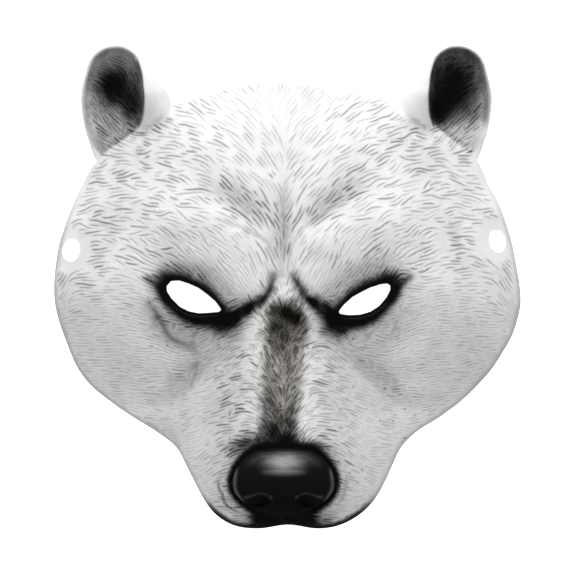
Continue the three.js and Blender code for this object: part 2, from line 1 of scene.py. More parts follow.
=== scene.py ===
# %% [markdown]
# # A bear mask of painted foam
# The real mask is one thin moulding of stiff white foam. A face of fur is pressed into it,
# grey is wiped into the grooves of the fur, and black is sprayed round the eyes, into the
# ears, down the middle of the muzzle and over the nose. It lies on its rim, face up.
#
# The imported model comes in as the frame: it has the right size and place, and the skin
# built here has to lie on it. Everything below is worked out in millimetres and turned
# into metres when a mesh is made.

import math

import bpy
import numpy as np
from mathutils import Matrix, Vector
from mathutils.geometry import delaunay_2d_cdt


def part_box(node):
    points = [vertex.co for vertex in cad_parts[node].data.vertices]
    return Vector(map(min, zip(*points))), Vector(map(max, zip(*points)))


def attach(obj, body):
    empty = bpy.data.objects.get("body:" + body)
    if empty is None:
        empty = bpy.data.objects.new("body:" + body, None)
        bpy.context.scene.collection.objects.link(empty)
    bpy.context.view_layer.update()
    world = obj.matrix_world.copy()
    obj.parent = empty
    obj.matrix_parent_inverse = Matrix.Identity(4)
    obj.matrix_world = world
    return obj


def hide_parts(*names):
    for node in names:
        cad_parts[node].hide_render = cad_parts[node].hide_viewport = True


MM = 0.001
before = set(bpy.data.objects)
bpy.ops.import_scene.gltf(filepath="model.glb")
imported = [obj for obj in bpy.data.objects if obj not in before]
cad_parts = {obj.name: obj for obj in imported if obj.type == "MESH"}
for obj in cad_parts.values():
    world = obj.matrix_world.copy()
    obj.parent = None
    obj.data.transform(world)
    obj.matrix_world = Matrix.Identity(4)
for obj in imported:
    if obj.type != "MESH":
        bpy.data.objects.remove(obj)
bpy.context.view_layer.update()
box_low, box_high = (np.array(corner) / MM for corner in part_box("mask_shell"))
print("frame", box_low.round(1), box_high.round(1))

# %% [markdown]
# ## The form of the face
# The moulding's front is a height above the table for every point of the face: a dome,
# a muzzle that runs into it, and soft bumps and creases on both. A sculpted mesh would
# look the same, but a height that is a function can be asked anywhere, so the fur, the
# rims and the paint can all be placed with it. The tables give each form's place in
# shares of half the mask's width and height.

# %% Sizes and the tables of the face
HALF_WIDTH = 203 / 2
HALF_HEIGHT = 204 / 2
SKULL_HEIGHT = 43
MUZZLE_HEIGHT = 76.5
RELIEF = 10
WALL = 2.5
RIM_EDGE = 2
EYE_LENGTH = 25
MIDLINE = -0.018


def table(columns, rows):
    """Rows of numbers under named columns, as one array for each column."""
    return dict(zip(columns.split(), np.array(rows, dtype=float).T))


OUTLINE = table("left right y rise", [
    (0.0, 0.0, 0.889, 0), (0.16, 0.16, 0.876, 0), (0.3, 0.3, 0.85, 0), (0.42, 0.42, 0.817, 0.05),
    (0.52, 0.52, 0.775, 0.15), (0.6, 0.6, 0.705, 0.2), (0.68, 0.68, 0.64, 0.22),
    (0.76, 0.755, 0.585, 0.2), (0.828, 0.818, 0.525, 0.12), (0.88, 0.858, 0.44, 0.02),
    (0.915, 0.898, 0.37, 0), (0.953, 0.936, 0.27, 0), (0.977, 0.958, 0.2, 0), (0.996, 0.978, 0.1, 0),
    (1.004, 0.995, 0.0, 0), (1.0, 0.998, -0.07, 0), (0.984, 0.984, -0.14, 0), (0.96, 0.96, -0.21, 0),
    (0.933, 0.92, -0.28, 0), (0.903, 0.878, -0.345, 0), (0.85, 0.817, -0.415, 0),
    (0.767, 0.745, -0.483, 0.05), (0.67, 0.655, -0.548, 0.14), (0.553, 0.542, -0.615, 0.35),
    (0.467, 0.474, -0.678, 0.6), (0.427, 0.438, -0.741, 0.84), (0.391, 0.405, -0.805, 1.0),
    (0.354, 0.366, -0.869, 1.12), (0.303, 0.301, -0.934, 1.21), (0.224, 0.212, -0.98, 1.28),
    (0.13, 0.13, -0.992, 1.33), (0.0, 0.0, -0.976, 1.35),
])
MUZZLE = table("y back half", [
    (0.14, 0.43, 0.12), (0.06, 0.52, 0.125), (-0.01, 0.59, 0.13), (-0.07, 0.64, 0.145),
    (-0.18, 0.71, 0.17), (-0.3, 0.79, 0.2), (-0.46, 0.895, 0.25), (-0.58, 0.96, 0.275),
    (-0.68, 0.995, 0.285), (-0.78, 1.0, 0.275), (-0.88, 0.96, 0.262), (-0.96, 0.865, 0.235),
    (-1.02, 0.785, 0.2),
])
MUZZLE_FALL = 0.157 * MUZZLE_HEIGHT
MUZZLE_BLEND = 9
# Soft lines on both halves: points from the midline outwards, half width, height.
FACE_LINES = {
    "brow": (
        [(0.05, 0.05), (0.14, 0.15), (0.26, 0.245), (0.41, 0.295), (0.56, 0.27), (0.66, 0.19)], 0.115, 0.65
    ),
    "frown furrow": ([(0.06, 0.24), (0.14, 0.31), (0.25, 0.385), (0.36, 0.43)], 0.062, -0.26),
    "temple ridge": ([(0.56, 0.44), (0.7, 0.38), (0.8, 0.26)], 0.07, 0.16),
    "temple hollow": ([(0.62, 0.33), (0.72, 0.27), (0.8, 0.14)], 0.075, -0.18),
    "cheek fold": ([(0.36, -0.25), (0.43, -0.4), (0.43, -0.56), (0.385, -0.68)], 0.085, -0.4),
}
FROWN_LINE = ([(-0.002, 0.04), (0.0, 0.2), (0.004, 0.46)], 0.045, -0.2)
# Round forms on both halves: place, the two radii, turn, height.
FACE_BUMPS = {
    "forehead boss": (0.27, 0.56, 0.2, 0.15, -20, 0.22),
    "cheek bone": (0.7, -0.14, 0.2, 0.2, 0, 0.35),
    "whisker pad": (0.285, -0.82, 0.11, 0.15, 12, 0.3),
    "lip pad": (0.16, -0.93, 0.1, 0.06, 12, 0.2),
}
EYES = [
    {"side": -1, "x": -0.396, "y": -0.049, "length": 1.0, "tilt": -22.5, "name": "left"},
    {"side": 1, "x": 0.322, "y": -0.053, "length": 0.975, "tilt": 26.5, "name": "right"},
]
# The lids' edges from the outer corner to the inner one, in shares of the eye's length.
LIDS = table("out left_up left_down right_up right_down", [
    (1.0, 0.02, 0.02, 0.02, 0.02), (0.93, 0.123, -0.05, 0.075, -0.04), (0.7, 0.18, -0.13, 0.11, -0.125),
    (0.35, 0.196, -0.205, 0.137, -0.2), (0.0, 0.192, -0.22, 0.137, -0.22),
    (-0.35, 0.152, -0.185, 0.128, -0.19), (-0.7, 0.096, -0.1, 0.082, -0.115),
    (-0.93, 0.03, -0.04, 0.03, -0.04), (-1.0, 0.0, 0.0, 0.0, 0.0),
])
# Forms round each eye, in shares of the eye's length.
SOCKET = (0.85, 0.56, -0.55)
LID_SWELL = (0.59, 0.36, 0.24)
EYE_BAG = ([(-0.52, -0.42), (0, -0.6), (0.52, -0.52), (0.8, -0.28)], 0.26, 0.1)
EYE_CREASE = ([(-0.4, -0.82), (0.12, -0.96), (0.64, -0.76), (1.0, -0.3)], 0.19, -0.09)
LACES = [(-0.927, 0.157), (0.895, 0.195)]
LACE_HOLE = 10.5
LACE_FLAT = 11
LACE_LEAN = 0.5


# %% Reading a table and joining forms
def read(rows, key, column, at):
    """A smooth curve through a table's rows: one column's value where another has key."""
    order = np.argsort(rows[key], kind="stable")
    x, v = rows[key][order], rows[column][order]
    at = np.clip(at, x[0], x[-1])
    i = np.clip(np.searchsorted(x, at, side="left") - 1, 0, len(x) - 2)
    here = np.diff(v) / np.diff(x)
    slope = np.concatenate([here[:1], (here[:-1] + here[1:]) / 2, here[-1:]])
    span = x[i + 1] - x[i]
    s = (at - x[i]) / span
    return (
        (2 * s**3 - 3 * s**2 + 1) * v[i]
        + (s**3 - 2 * s**2 + s) * span * slope[i]
        + (3 * s**2 - 2 * s**3) * v[i + 1]
        + (s**3 - s**2) * span * slope[i + 1]
    )


def soft_max(a, b, blend):
    return 0.5 * (a + b + np.hypot(a - b, blend))


def smooth_step(x, low, high):
    t = np.clip((x - low) / (high - low), 0, 1)
    return t * t * (3 - 2 * t)


def mix(a, b, share):
    return a + (b - a) * share


def lengths_along(line):
    """How far along a line each of its points is."""
    return np.concatenate([[0], np.cumsum(np.hypot(*np.diff(line, axis=0).T))])


def curve_through(points, steps=40):
    """Many evenly spaced points on a smooth curve through a few."""
    p = np.array(points, dtype=float)
    p = np.vstack([2 * p[0] - p[1], p, 2 * p[-1] - p[-2]])
    t = np.linspace(0, 1, steps, endpoint=False)[:, None]
    parts = []
    for a, b, c, d in zip(p[:-3], p[1:-2], p[2:-1], p[3:]):
        u, w = (c - a) / 2, (d - b) / 2
        parts.append((2 * b - 2 * c + u + w) * t**3 + (3 * c - 3 * b - 2 * u - w) * t**2 + u * t + b)
    line = np.vstack(parts + [p[-2:-1]])
    return line, lengths_along(line)


def at_lengths(line, along, at):
    """The points of a line at these lengths along it."""
    return np.stack([np.interp(at, along, line[:, k]) for k in (0, 1)], axis=1)


def points_along(points, shares):
    line, along = curve_through(points)
    return at_lengths(line, along, np.array(shares) * along[-1]), along[-1]


def turned(x, y, degrees):
    """A place as seen from axes that are turned by so much."""
    c, s = math.cos(math.radians(degrees)), math.sin(math.radians(degrees))
    return c * x + s * y, c * y - s * x


def patch(x, y, cx, cy, rx, ry, turn=0, power=1):
    """A soft round patch: 1 in its middle, fading out at its two radii."""
    a, b = turned(x - cx, y - cy, turn)
    return np.exp(-(((a / rx) ** 2 + (b / ry) ** 2) ** power))


def pair(x, y):
    """Places as rows of x and y."""
    return np.stack([x, y], axis=1)


def lookup(field, u, v):
    """A grid's value at fractions of its rows and columns, blended between its cells."""
    u, v = (np.clip(k, 0, n - 1.001) for k, n in zip((u, v), field.shape))
    i, j = u.astype(int), v.astype(int)
    u, v = u - i, v - j
    low = field[i, j] * (1 - u) + field[i + 1, j] * u
    high = field[i, j + 1] * (1 - u) + field[i + 1, j + 1] * u
    return low * (1 - v) + high * v


# %% The local forms as a list of round bumps
def line_bumps(points, width, height):
    """A soft line as a row of round bumps, smaller near its ends."""
    length = curve_through(points)[1][-1]
    count = max(3, math.ceil(length / (0.55 * width)))
    shares = (np.arange(count) + 0.5) / count
    places, length = points_along(points, shares)
    ease = smooth_step(np.minimum(shares, 1 - shares) / 0.25, 0, 1)
    size = height * length / count / (width * math.sqrt(math.pi)) * (0.1 + 0.9 * ease)
    return [(x, y, width, width, 0, h, 1) for (x, y), h in zip(places, size)]


def eye_point(eye, out, up):
    """A point from an eye's middle, in millimetres outwards and upwards along its tilt."""
    x, y = turned(eye["side"] * out, up, -eye["tilt"])
    return eye["x"] * HALF_WIDTH + x, eye["y"] * HALF_HEIGHT + y


def eye_place(eye, out, up):
    """The same in shares of the half width, from shares of the eye's length."""
    unit = EYE_LENGTH / HALF_WIDTH
    x, y = turned(eye["side"] * out * unit, up * unit, -eye["tilt"])
    return eye["x"] + x, eye["y"] + y


forms = []
for side in (-1, 1):
    for points, width, height in FACE_LINES.values():
        forms += line_bumps([(MIDLINE + side * x, y) for x, y in points], width, height)
    for x, y, rx, ry, turn, height in FACE_BUMPS.values():
        forms.append((MIDLINE + side * x, y, rx, ry, side * turn, height, 1))
points, width, height = FROWN_LINE
forms += line_bumps([(MIDLINE + x, y) for x, y in points], width, height)
for eye in EYES:
    unit = EYE_LENGTH / HALF_WIDTH
    for (rx, ry, height), power in ((SOCKET, 2), (LID_SWELL, 2.5)):
        forms.append((eye["x"], eye["y"], rx * unit, ry * unit, eye["tilt"], height, power))
    for points, width, height in (EYE_BAG, EYE_CREASE):
        forms += line_bumps([eye_place(eye, *p) for p in points], width * unit, height)
FORMS = np.array(forms)
print(len(FORMS), "bumps make the face's local forms")


# %% The height of the face
def relief(x, y):
    """The dome, the muzzle and the local forms at a point in shares."""
    tall = np.where(y > 0.06, 0.845, 0.8)
    out = (np.abs(x) ** 2.25 + np.abs((y - 0.06) / tall) ** 2.25) ** (1 / 2.25)
    skull = SKULL_HEIGHT * (1 - out**2.3)
    half = read(MUZZLE, "y", "half", y)
    fade = np.maximum(0, y - 0.1) * 90
    muzzle = MUZZLE_HEIGHT * read(MUZZLE, "y", "back", y) - fade
    muzzle = muzzle - MUZZLE_FALL * (np.abs(x - MIDLINE) / half) ** 2.1
    z = soft_max(skull, muzzle, MUZZLE_BLEND)
    for *place, height, power in FORMS:
        z = z + RELIEF * height * patch(x, y, *place, power)
    return z


def all_round(right, left):
    """A column of the outline from the right half's top round to the left half's."""
    return np.concatenate([right, left[1:-1][::-1]])


around_x = all_round(OUTLINE["right"], -OUTLINE["left"])
around_y = all_round(OUTLINE["y"], OUTLINE["y"])
turns = np.arctan2(around_x, around_y) % (2 * math.pi)
around_rise = all_round(OUTLINE["rise"], OUTLINE["rise"])
columns = {"turn": turns, "reach": np.hypot(around_x, around_y), "rise": around_rise}
# Two rows before the first and three after the last carry the curve round the join.
CIRCLE = {name: np.concatenate([v[-2:], v, v[:3]]) for name, v in columns.items()}
CIRCLE["turn"][:2] -= 2 * math.pi
CIRCLE["turn"][-3:] += 2 * math.pi
edge_turns = np.linspace(0, 2 * math.pi, 361)
EDGE_REACH = read(CIRCLE, "turn", "reach", edge_turns)
EDGE_PULL = (
    RIM_EDGE
    + SKULL_HEIGHT * read(CIRCLE, "turn", "rise", edge_turns)
    - relief(EDGE_REACH * np.sin(edge_turns), EDGE_REACH * np.cos(edge_turns))
)
PULL_POWER = 12


def edge_share(x, y):
    """A point's turn round the face, and how far out it lies: 1 on the face's own edge."""
    turn = np.arctan2(x, y) % (2 * math.pi)
    return turn, np.hypot(x, y) / np.interp(turn, edge_turns, EDGE_REACH)


def bare(x, y):
    """The face's height in millimetres, pulled down to its trimmed edge."""
    x, y = x / HALF_WIDTH, y / HALF_HEIGHT
    turn, past = edge_share(x, y)
    pull = np.interp(turn, edge_turns, EDGE_PULL)
    return relief(x, y) + pull * np.clip(past, 0, 1.02) ** PULL_POWER


def slopes(height, x, y, step=0.2):
    return (
        (height(x + step, y) - height(x - step, y)) / (2 * step),
        (height(x, y + step) - height(x, y - step)) / (2 * step),
    )


lace_seats = []
for x, y in LACES:
    x, y = np.float64(x * HALF_WIDTH), np.float64(y * HALF_HEIGHT)
    lace_seats.append((x, y, bare(x, y), *slopes(bare, x, y)))


def face_height(x, y):
    """The face with a flat round each lace hole."""
    z = bare(x, y)
    for sx, sy, sz, slope_x, slope_y in lace_seats:
        flat = 1 - smooth_step(np.hypot(x - sx, y - sy), LACE_FLAT, 1.7 * LACE_FLAT)
        z = mix(z, sz + slope_x * (x - sx) + slope_y * (y - sy), flat)
    return z


print("nasion %.1f mm, muzzle's top %.1f mm" % (face_height(0.0, 10.0), face_height(0.0, -70.0)))

# %% [markdown]
# ## The ears
# Each ear is a cup with a raised lip, whose back slopes down to the trimmed edge. Seen
# from above it is a height as well, given on spokes round the cup's middle. The whole
# front is then the highest of face and ears at every point, blended a little where they
# meet, as the moulding's crease is.

# %% The height of the ears
EAR_HEIGHT = 28
EAR_MIDDLE = np.array((-0.719 * HALF_WIDTH, 0.81 * HALF_HEIGHT))
EAR_FLOOR = 0.32 * EAR_HEIGHT
RIGHT_EAR_IN = 0.013 * HALF_WIDTH
EAR_CREASE = 0.6
EAR = table("turn lip edge lip_height edge_height", [
    (-107, 0.27, 0.305, 0.26, 0.25),
    (-90, 0.205, 0.24, 0.35, 0.34),
    (-70, 0.182, 0.225, 0.37, 0.35),
    (-55, 0.158, 0.22, 0.48, 0.34),
    (-40, 0.14, 0.22, 0.68, 0.36),
    (-20, 0.122, 0.238, 0.88, 0.32),
    (0, 0.117, 0.213, 1.0, 0.3),
    (20, 0.12, 0.178, 0.99, 0.36),
    (45, 0.145, 0.163, 0.93, 0.55),
    (68, 0.186, 0.194, 0.88, 0.72),
    (90, 0.205, 0.213, 0.84, 0.7),
    (120, 0.197, 0.205, 0.76, 0.62),
    (150, 0.16, 0.168, 0.68, 0.54),
    (180, 0.155, 0.163, 0.6, 0.46),
    (210, 0.174, 0.182, 0.5, 0.38),
    (235, 0.224, 0.232, 0.38, 0.3),
    (253, 0.27, 0.305, 0.26, 0.25),
])
EAR_CUP = table("out climb", [(0, 0), (0.34, 0.03), (0.64, 0.18), (0.86, 0.56), (1, 1), (1.15, 1.5)])


def ear_polar(x, y, side):
    """Turn in degrees and reach in millimetres of a point seen from an ear's middle."""
    if side > 0:
        x = -x - RIGHT_EAR_IN
    dx, dy = x - EAR_MIDDLE[0], y - EAR_MIDDLE[1]
    return (np.degrees(np.arctan2(dy, dx)) + 107) % 360 - 107, np.hypot(dx, dy)


def ear_height(x, y, side):
    turn, reach = ear_polar(x, y, side)
    lip, edge = (HALF_WIDTH * read(EAR, "turn", c, turn) for c in ("lip", "edge"))
    top, low = (EAR_HEIGHT * read(EAR, "turn", c, turn) for c in ("lip_height", "edge_height"))
    cup = mix(EAR_FLOOR, top, read(EAR_CUP, "out", "climb", reach / lip))
    back = top + (low - top) * (reach - lip) / (edge - lip)
    z = np.where(reach < lip, cup, back)
    near_lip = -soft_max(-cup, -back, 0.9)
    return np.where(reach > 0.8 * lip, near_lip, z) - 6 * np.maximum(0, reach - edge - 1)


def ear_line(side, count, line="edge", out=0.0):
    """Points round an ear's trimmed edge or its lip, or so far outside it."""
    turn = np.linspace(-107, 253, count, endpoint=False)
    reach = HALF_WIDTH * read(EAR, "turn", line, turn) + out
    x = EAR_MIDDLE[0] + reach * np.cos(np.radians(turn))
    y = EAR_MIDDLE[1] + reach * np.sin(np.radians(turn))
    if side > 0:
        x, y = (-x - RIGHT_EAR_IN)[::-1], y[::-1]
    return pair(x, y)


def inside(points, polygon):
    """Which points lie within a closed polygon."""
    x, y = np.asarray(points).T
    hit = np.zeros(len(x), dtype=bool)
    low, high = polygon.min(axis=0), polygon.max(axis=0)
    near = (x >= low[0]) & (x <= high[0]) & (y >= low[1]) & (y <= high[1])
    px, py = x[near], y[near]
    odd = np.zeros(len(px), dtype=bool)
    for (ax, ay), (bx, by) in zip(polygon, np.roll(polygon, -1, axis=0)):
        if ay != by:
            odd ^= ((ay > py) != (by > py)) & (px < (bx - ax) * (py - ay) / (by - ay) + ax)
    hit[near] = odd
    return hit


def smooth_height(x, y):
    """The whole front without its fur."""
    _, past = edge_share(x / HALF_WIDTH, y / HALF_HEIGHT)
    z = face_height(x, y) - 4 * HALF_WIDTH * np.maximum(0, past - 1)
    for side in (-1, 1):
        near = (np.abs(x - side * 70) < 45) & (y > 40)
        if np.any(near):
            ear = ear_height(x[near], y[near], side)
            dip = 0.5 * EAR_CREASE * np.exp(-(((z[near] - ear) / 3) ** 2))
            z[near] = soft_max(z[near], ear, EAR_CREASE) - dip
    return z


print("ear's lip %.1f mm" % ear_height(np.array([-61.2]), np.array([82.6]), -1)[0])

# %% [markdown]
# ## The trimmed edge and the holes
# The foam was trimmed after moulding, so its edge is one closed line round face and ears,
# and the eye and lace holes are cut through. Each of them is a loop of points that the
# front skin, the cut edge and the back skin share, so the wall closes without gaps.

# %% Loops for the edge and the holes
EDGE_STEP = 1.1


def even_loop(points, step):
    """A closed loop's points, spaced again by about step."""
    closed = np.vstack([points, points[:1]])
    along = lengths_along(closed)
    at = np.linspace(0, along[-1], max(12, round(along[-1] / step)), endpoint=False)
    return at_lengths(closed, along, at)


def outside(loop, other):
    """The stretch of a closed loop that lies outside another one, in its own order."""
    hidden = inside(loop, other)
    start = np.flatnonzero(hidden & ~np.roll(hidden, -1))[0] + 1
    return np.roll(loop, -start, axis=0)[~np.roll(hidden, -start)]


turn = np.linspace(0, 2 * math.pi, 900, endpoint=False)
reach = read(CIRCLE, "turn", "reach", turn)
face_loop = pair(reach * np.sin(turn) * HALF_WIDTH, reach * np.cos(turn) * HALF_HEIGHT)[::-1]
outer_loop = face_loop
for side in (-1, 1):
    ear_loop = ear_line(side, 400)
    outer_loop = np.vstack([outside(outer_loop, ear_loop), outside(ear_loop, outer_loop)])
shift = (box_low + box_high)[:2] / 2 - (outer_loop.min(axis=0) + outer_loop.max(axis=0)) / 2
outer_loop = even_loop(outer_loop, EDGE_STEP)
print("edge of %d points, moved by" % len(outer_loop), shift.round(2), "mm into the frame")


def eye_loop(eye):
    """The lids' edge, clockwise, as a hole's loop runs."""
    length = EYE_LENGTH * eye["length"]
    up, down = (pair(LIDS["out"] / 2, LIDS[eye["name"] + lid]) * length for lid in ("_up", "_down"))
    loop = pair(*eye_point(eye, *np.vstack([up, down[1:-1][::-1]]).T))
    return even_loop(loop if eye["side"] < 0 else loop[::-1], 0.6)


def lace_loop(seat, drop):
    """Where the leaning punch meets the flat, or the same flat some way down."""
    x, y, z, slope_x, slope_y = seat
    lean = np.array((-LACE_LEAN * slope_x, -LACE_LEAN * slope_y, 1.0))
    lean /= np.linalg.norm(lean)
    across = np.cross(lean, (0, 1, 0))
    across /= np.linalg.norm(across)
    up = np.cross(lean, across)
    turn = np.linspace(0, -2 * math.pi, 48, endpoint=False)[:, None]
    ring = LACE_HOLE / 2 * (np.cos(turn) * across + np.sin(turn) * -up)
    rise = slope_x * ring[:, 0] + slope_y * ring[:, 1] - ring[:, 2] - drop
    ring = ring + np.outer(rise / (lean[2] - slope_x * lean[0] - slope_y * lean[1]), lean)
    return ring[:, :2] + (x, y)


def push(loop, distance):
    """A loop's points moved to the right of the way they run: out of the foam."""
    way = np.roll(loop, -1, axis=0) - np.roll(loop, 1, axis=0)
    way /= np.maximum(np.hypot(*way.T), 1e-9)[:, None]
    return loop + distance * np.stack([way[:, 1], -way[:, 0]], axis=1)


eye_loops = [eye_loop(eye) for eye in EYES]
lace_loops = [lace_loop(seat, 0) for seat in lace_seats]
print("points round the holes", [len(loop) for loop in eye_loops + lace_loops])

# %% [markdown]
# ## The way the fur runs
# The fur is pressed in as short grooves, seven to thirteen millimetres long on the
# forehead and finer on the cheeks. It parts at the middle of the forehead and sweeps out
# over the brows, and on the muzzle it falls in a V. A few guides say which way it runs
# where; anywhere else the way is blended from the guides nearby. Particle hair would
# look like real fur, but this fur is solid foam, so its strokes are cut into the skin.

# %% Guides for the fur
# Place left of the face's middle in millimetres, and the angle of the stroke there.
GUIDES_BOTH = [
    (-1.5, 80, -62), (-1.5, 60, -60), (-1.5, 40, -62), (-2, 22, -66), (-4.5, 76, -54), (-4.5, 60, -52),
    (-4.5, 44, -52), (-4.5, 30, -56), (-10, 74, -46), (-9, 60, -44), (-10, 46, -44), (-28, 74, -34),
    (-28, 58, -30), (-46, 72, -20), (-46, 56, -14), (-61, 62, -4), (-54, 70, -22), (-52, 58, 4),
    (-74, 52, 14), (-80, 40, 8), (-60, 48, -4), (-44, 42, -12), (-62, 36, -6), (-80, 25, -4),
    (-92, 18, 60), (-18, 40, -46), (-33, 30, -16), (-25, 32, -26), (-15, 26, -38), (-9, 33, -55),
    (-20, 18, -46), (-11, 14, -58), (-40, 16, -44), (-34, 8, -50), (-52, 14, -26), (-62, 8, -26),
    (-74, 0, 0), (-86, 0, 4), (-96, 0, 50), (-60, -10, -20), (-74, -18, 2), (-88, -26, 2),
    (-48, -22, -22), (-60, -30, -6), (-74, -42, -4), (-50, -44, 4), (-66, -56, -12), (-3, 6, -74),
    (-6, -4, -55), (-2, -12, -62), (-2, -30, -62), (-2, -48, -62), (-2, -62, -60), (-7, -14, -56),
    (-7, -30, -56), (-8, -46, -56), (-8, -60, -54), (-11.5, -22, -26), (-12, -40, -22), (-12.5, -56, -14),
    (-15, -20, 8), (-15.5, -40, 8), (-16, -58, 12), (-20, -14, 34), (-21, -30, 30), (-22, -46, 28),
    (-30, -22, 36), (-40, -22, 4), (-32, -44, 20), (-34, -62, 24), (-30, -72, 32), (-36, -84, 24),
    (-26, -92, 4), (-44, -72, 10), (-70, 76, -48), (-74, 64, -40), (-74, 88, -38), (-82, 92, -22),
    (-66, 92, -62), (-74, 98, -16), (-84, 78, -52), (-64, 82, -72),
]
# The same fur isn't quite the same on the other half, so some guides stand on one half only.
GUIDES_RIGHT = [
    (22, 16, 66), (24, 66, 46), (45, 52, 32), (58, 43, 27), (43, 8, 58), (56, 5, -10), (28, -40, -22),
]


def placed(guides, side):
    """Guides from the face's middle as places on one half of the face."""
    return [(MIDLINE * HALF_WIDTH + side * x, y, side * angle) for x, y, angle in guides]


guides = np.array(placed(GUIDES_BOTH, 1) + placed(GUIDES_BOTH, -1) + placed(GUIDES_RIGHT, 1), dtype=float)
guide_weight = np.concatenate([np.ones(2 * len(GUIDES_BOTH)), np.full(len(GUIDES_RIGHT), 2.0)])
FIELD, FIELD_END = 1.2, 112
field_at = np.arange(-FIELD_END, FIELD_END + 1, FIELD)
fx, fy = np.meshgrid(field_at, field_at, indexing="ij")
near = guide_weight / ((fx[..., None] - guides[:, 0]) ** 2 + (fy[..., None] - guides[:, 1]) ** 2 + 4) ** 1.7
twice = np.radians(2 * guides[:, 2])
way_field = (near @ np.cos(twice) + 1j * (near @ np.sin(twice))) / near.sum(axis=2)


def fur_angle(x, y):
    """The stroke's angle in radians at each point; a stroke and its reverse are one way."""
    return 0.5 * np.angle(lookup(way_field, (x + FIELD_END) / FIELD, (y + FIELD_END) / FIELD))


# %% Where the fur is long or short, deep or shallow
NOSE_MIDDLE = np.array((MIDLINE * HALF_WIDTH, -80.5))
NOSE_WIDTH = 42.5
# The nose pad's outline and how high it stands, from its upper edge to the lower one.
NOSE = table("y lift half", [
    (-0.652, -0.1, 0.3), (-0.662, 0.3, 0.58), (-0.68, 0.52, 0.72), (-0.704, 0.7, 0.83),
    (-0.74, 0.9, 0.93), (-0.78, 1.0, 0.99), (-0.82, 1.0, 0.98), (-0.857, 0.84, 0.88),
    (-0.893, 0.46, 0.68), (-0.918, 0.1, 0.46), (-0.932, -0.3, 0.25),
])


def nose_loop(count):
    """The nose pad's outline, anticlockwise from its right side."""
    turn = 2 * math.pi * np.arange(count) / count
    low, high = NOSE["y"].min() * HALF_HEIGHT, NOSE["y"].max() * HALF_HEIGHT
    y = (low + high) / 2 + (high - low) / 2 * np.sin(turn)
    half = NOSE_WIDTH / 2 * read(NOSE, "y", "half", y / HALF_HEIGHT)
    return np.stack([NOSE_MIDDLE[0] + np.sign(np.cos(turn)) * np.abs(np.cos(turn)) ** 0.12 * half, y], axis=1)


AT_ONCE = 8000


def away_from(x, y, loop):
    """The distance to a loop of points."""
    best = np.full(len(x), 1e9)
    for start in range(0, len(x), AT_ONCE):
        part = slice(start, start + AT_ONCE)
        d = (x[part, None] - loop[:, 0]) ** 2 + (y[part, None] - loop[:, 1]) ** 2
        best[part] = np.sqrt(d.min(axis=1))
    return best


def nose_distance(x, y):
    """How far a point lies outside the nose pad's foot, or less than nothing within it."""
    outline = even_loop(nose_loop(200), 0.8)
    out = np.full(len(x), 60.0)
    near = np.hypot(x - NOSE_MIDDLE[0], y - NOSE_MIDDLE[1]) < 60
    d = away_from(x[near], y[near], outline)
    out[near] = np.where(inside(np.stack([x[near], y[near]], axis=1), outline), -d, d)
    return out


def fur_zone(x, y):
    """How far each point belongs to the forehead's long fur, and to the muzzle's."""
    forehead = smooth_step(y + 0.12 * np.abs(x), 0, 20)
    muzzle = (1 - smooth_step(np.abs(x + 2), 20, 34)) * (1 - smooth_step(y, -14, 4))
    return forehead, muzzle


def bare_foam(x, y):
    """1 where the foam is smooth: the lids, the nose, the rims, the lace flats, the ears' backs."""
    smooth = np.zeros(len(x))
    for loop in eye_loops:
        smooth = np.maximum(smooth, 1 - smooth_step(away_from(x, y, loop), 1.6, 3.4))
        smooth = np.maximum(smooth, inside(pair(x, y), loop))
    smooth = np.maximum(smooth, 1 - smooth_step(nose_distance(x, y), 0.5, 2.0))
    for sx, sy, *_ in lace_seats:
        smooth = np.maximum(smooth, 1 - smooth_step(np.hypot(x - sx, y - sy), 7, 10))
    smooth = np.maximum(smooth, 1 - smooth_step(away_from(x, y, outer_loop), 0.8, 2.5))
    for side in (-1, 1):
        turn, reach = ear_polar(x, y, side)
        lip = HALF_WIDTH * read(EAR, "turn", "lip", turn)
        on_ear = ear_height(x, y, side) > face_height(x, y) + 0.3
        smooth = np.where(on_ear & (reach >= 0.84 * lip), 1.0, smooth)
    return smooth


# %% Soft lines and patches
def line_distance(x, y, points):
    """The distance to a curve through points, and how far along it the nearest place is."""
    line, along = curve_through(points, 12)
    best, share = np.full(len(x), 1e9), np.zeros(len(x))
    near = (x > line[:, 0].min() - 15) & (x < line[:, 0].max() + 15)
    near &= (y > line[:, 1].min() - 15) & (y < line[:, 1].max() + 15)
    d = np.hypot(x[near, None] - line[:, 0], y[near, None] - line[:, 1])
    best[near] = d.min(axis=1)
    share[near] = along[d.argmin(axis=1)] / along[-1]
    return best, share


def join(*layers):
    """Layers of paint over each other: what one leaves bare the next may cover."""
    bare_share = 1.0
    for layer in layers:
        bare_share = bare_share * (1 - np.clip(layer, 0, 1))
    return 1 - bare_share


# %% Lines that follow the fur
STEP = 0.7
MOST_STEPS = 14
CELL, MARGIN = 0.25, 40
rng = np.random.default_rng(7)
low, high = outer_loop.min(axis=0), outer_loop.max(axis=0)


def soft_noise(x, y, size, seed, waves=26):
    """Smooth random clouds of about that size, from -1 to 1."""
    chance = np.random.default_rng(seed)
    turn, phase = chance.uniform(0, 2 * math.pi, (2, waves))
    pace = 2 * math.pi / (size * chance.uniform(0.7, 1.6, waves))
    total = sum(np.sin(p * (x * math.cos(t) + y * math.sin(t)) + f) for t, f, p in zip(turn, phase, pace))
    return total / math.sqrt(waves / 2) / 2


temples = smooth_step(np.abs(fx), 18, 42) * smooth_step(fy, 2, 20) * (np.hypot(np.abs(fx) - 74, fy - 84) > 18)
waves = math.radians(7) * soft_noise(fx, fy, 16, 11, 14)
waves = waves + np.radians(8 + 17 * temples) * soft_noise(fx, fy, 8, 12, 14)
way_field = way_field * np.exp(2j * waves)


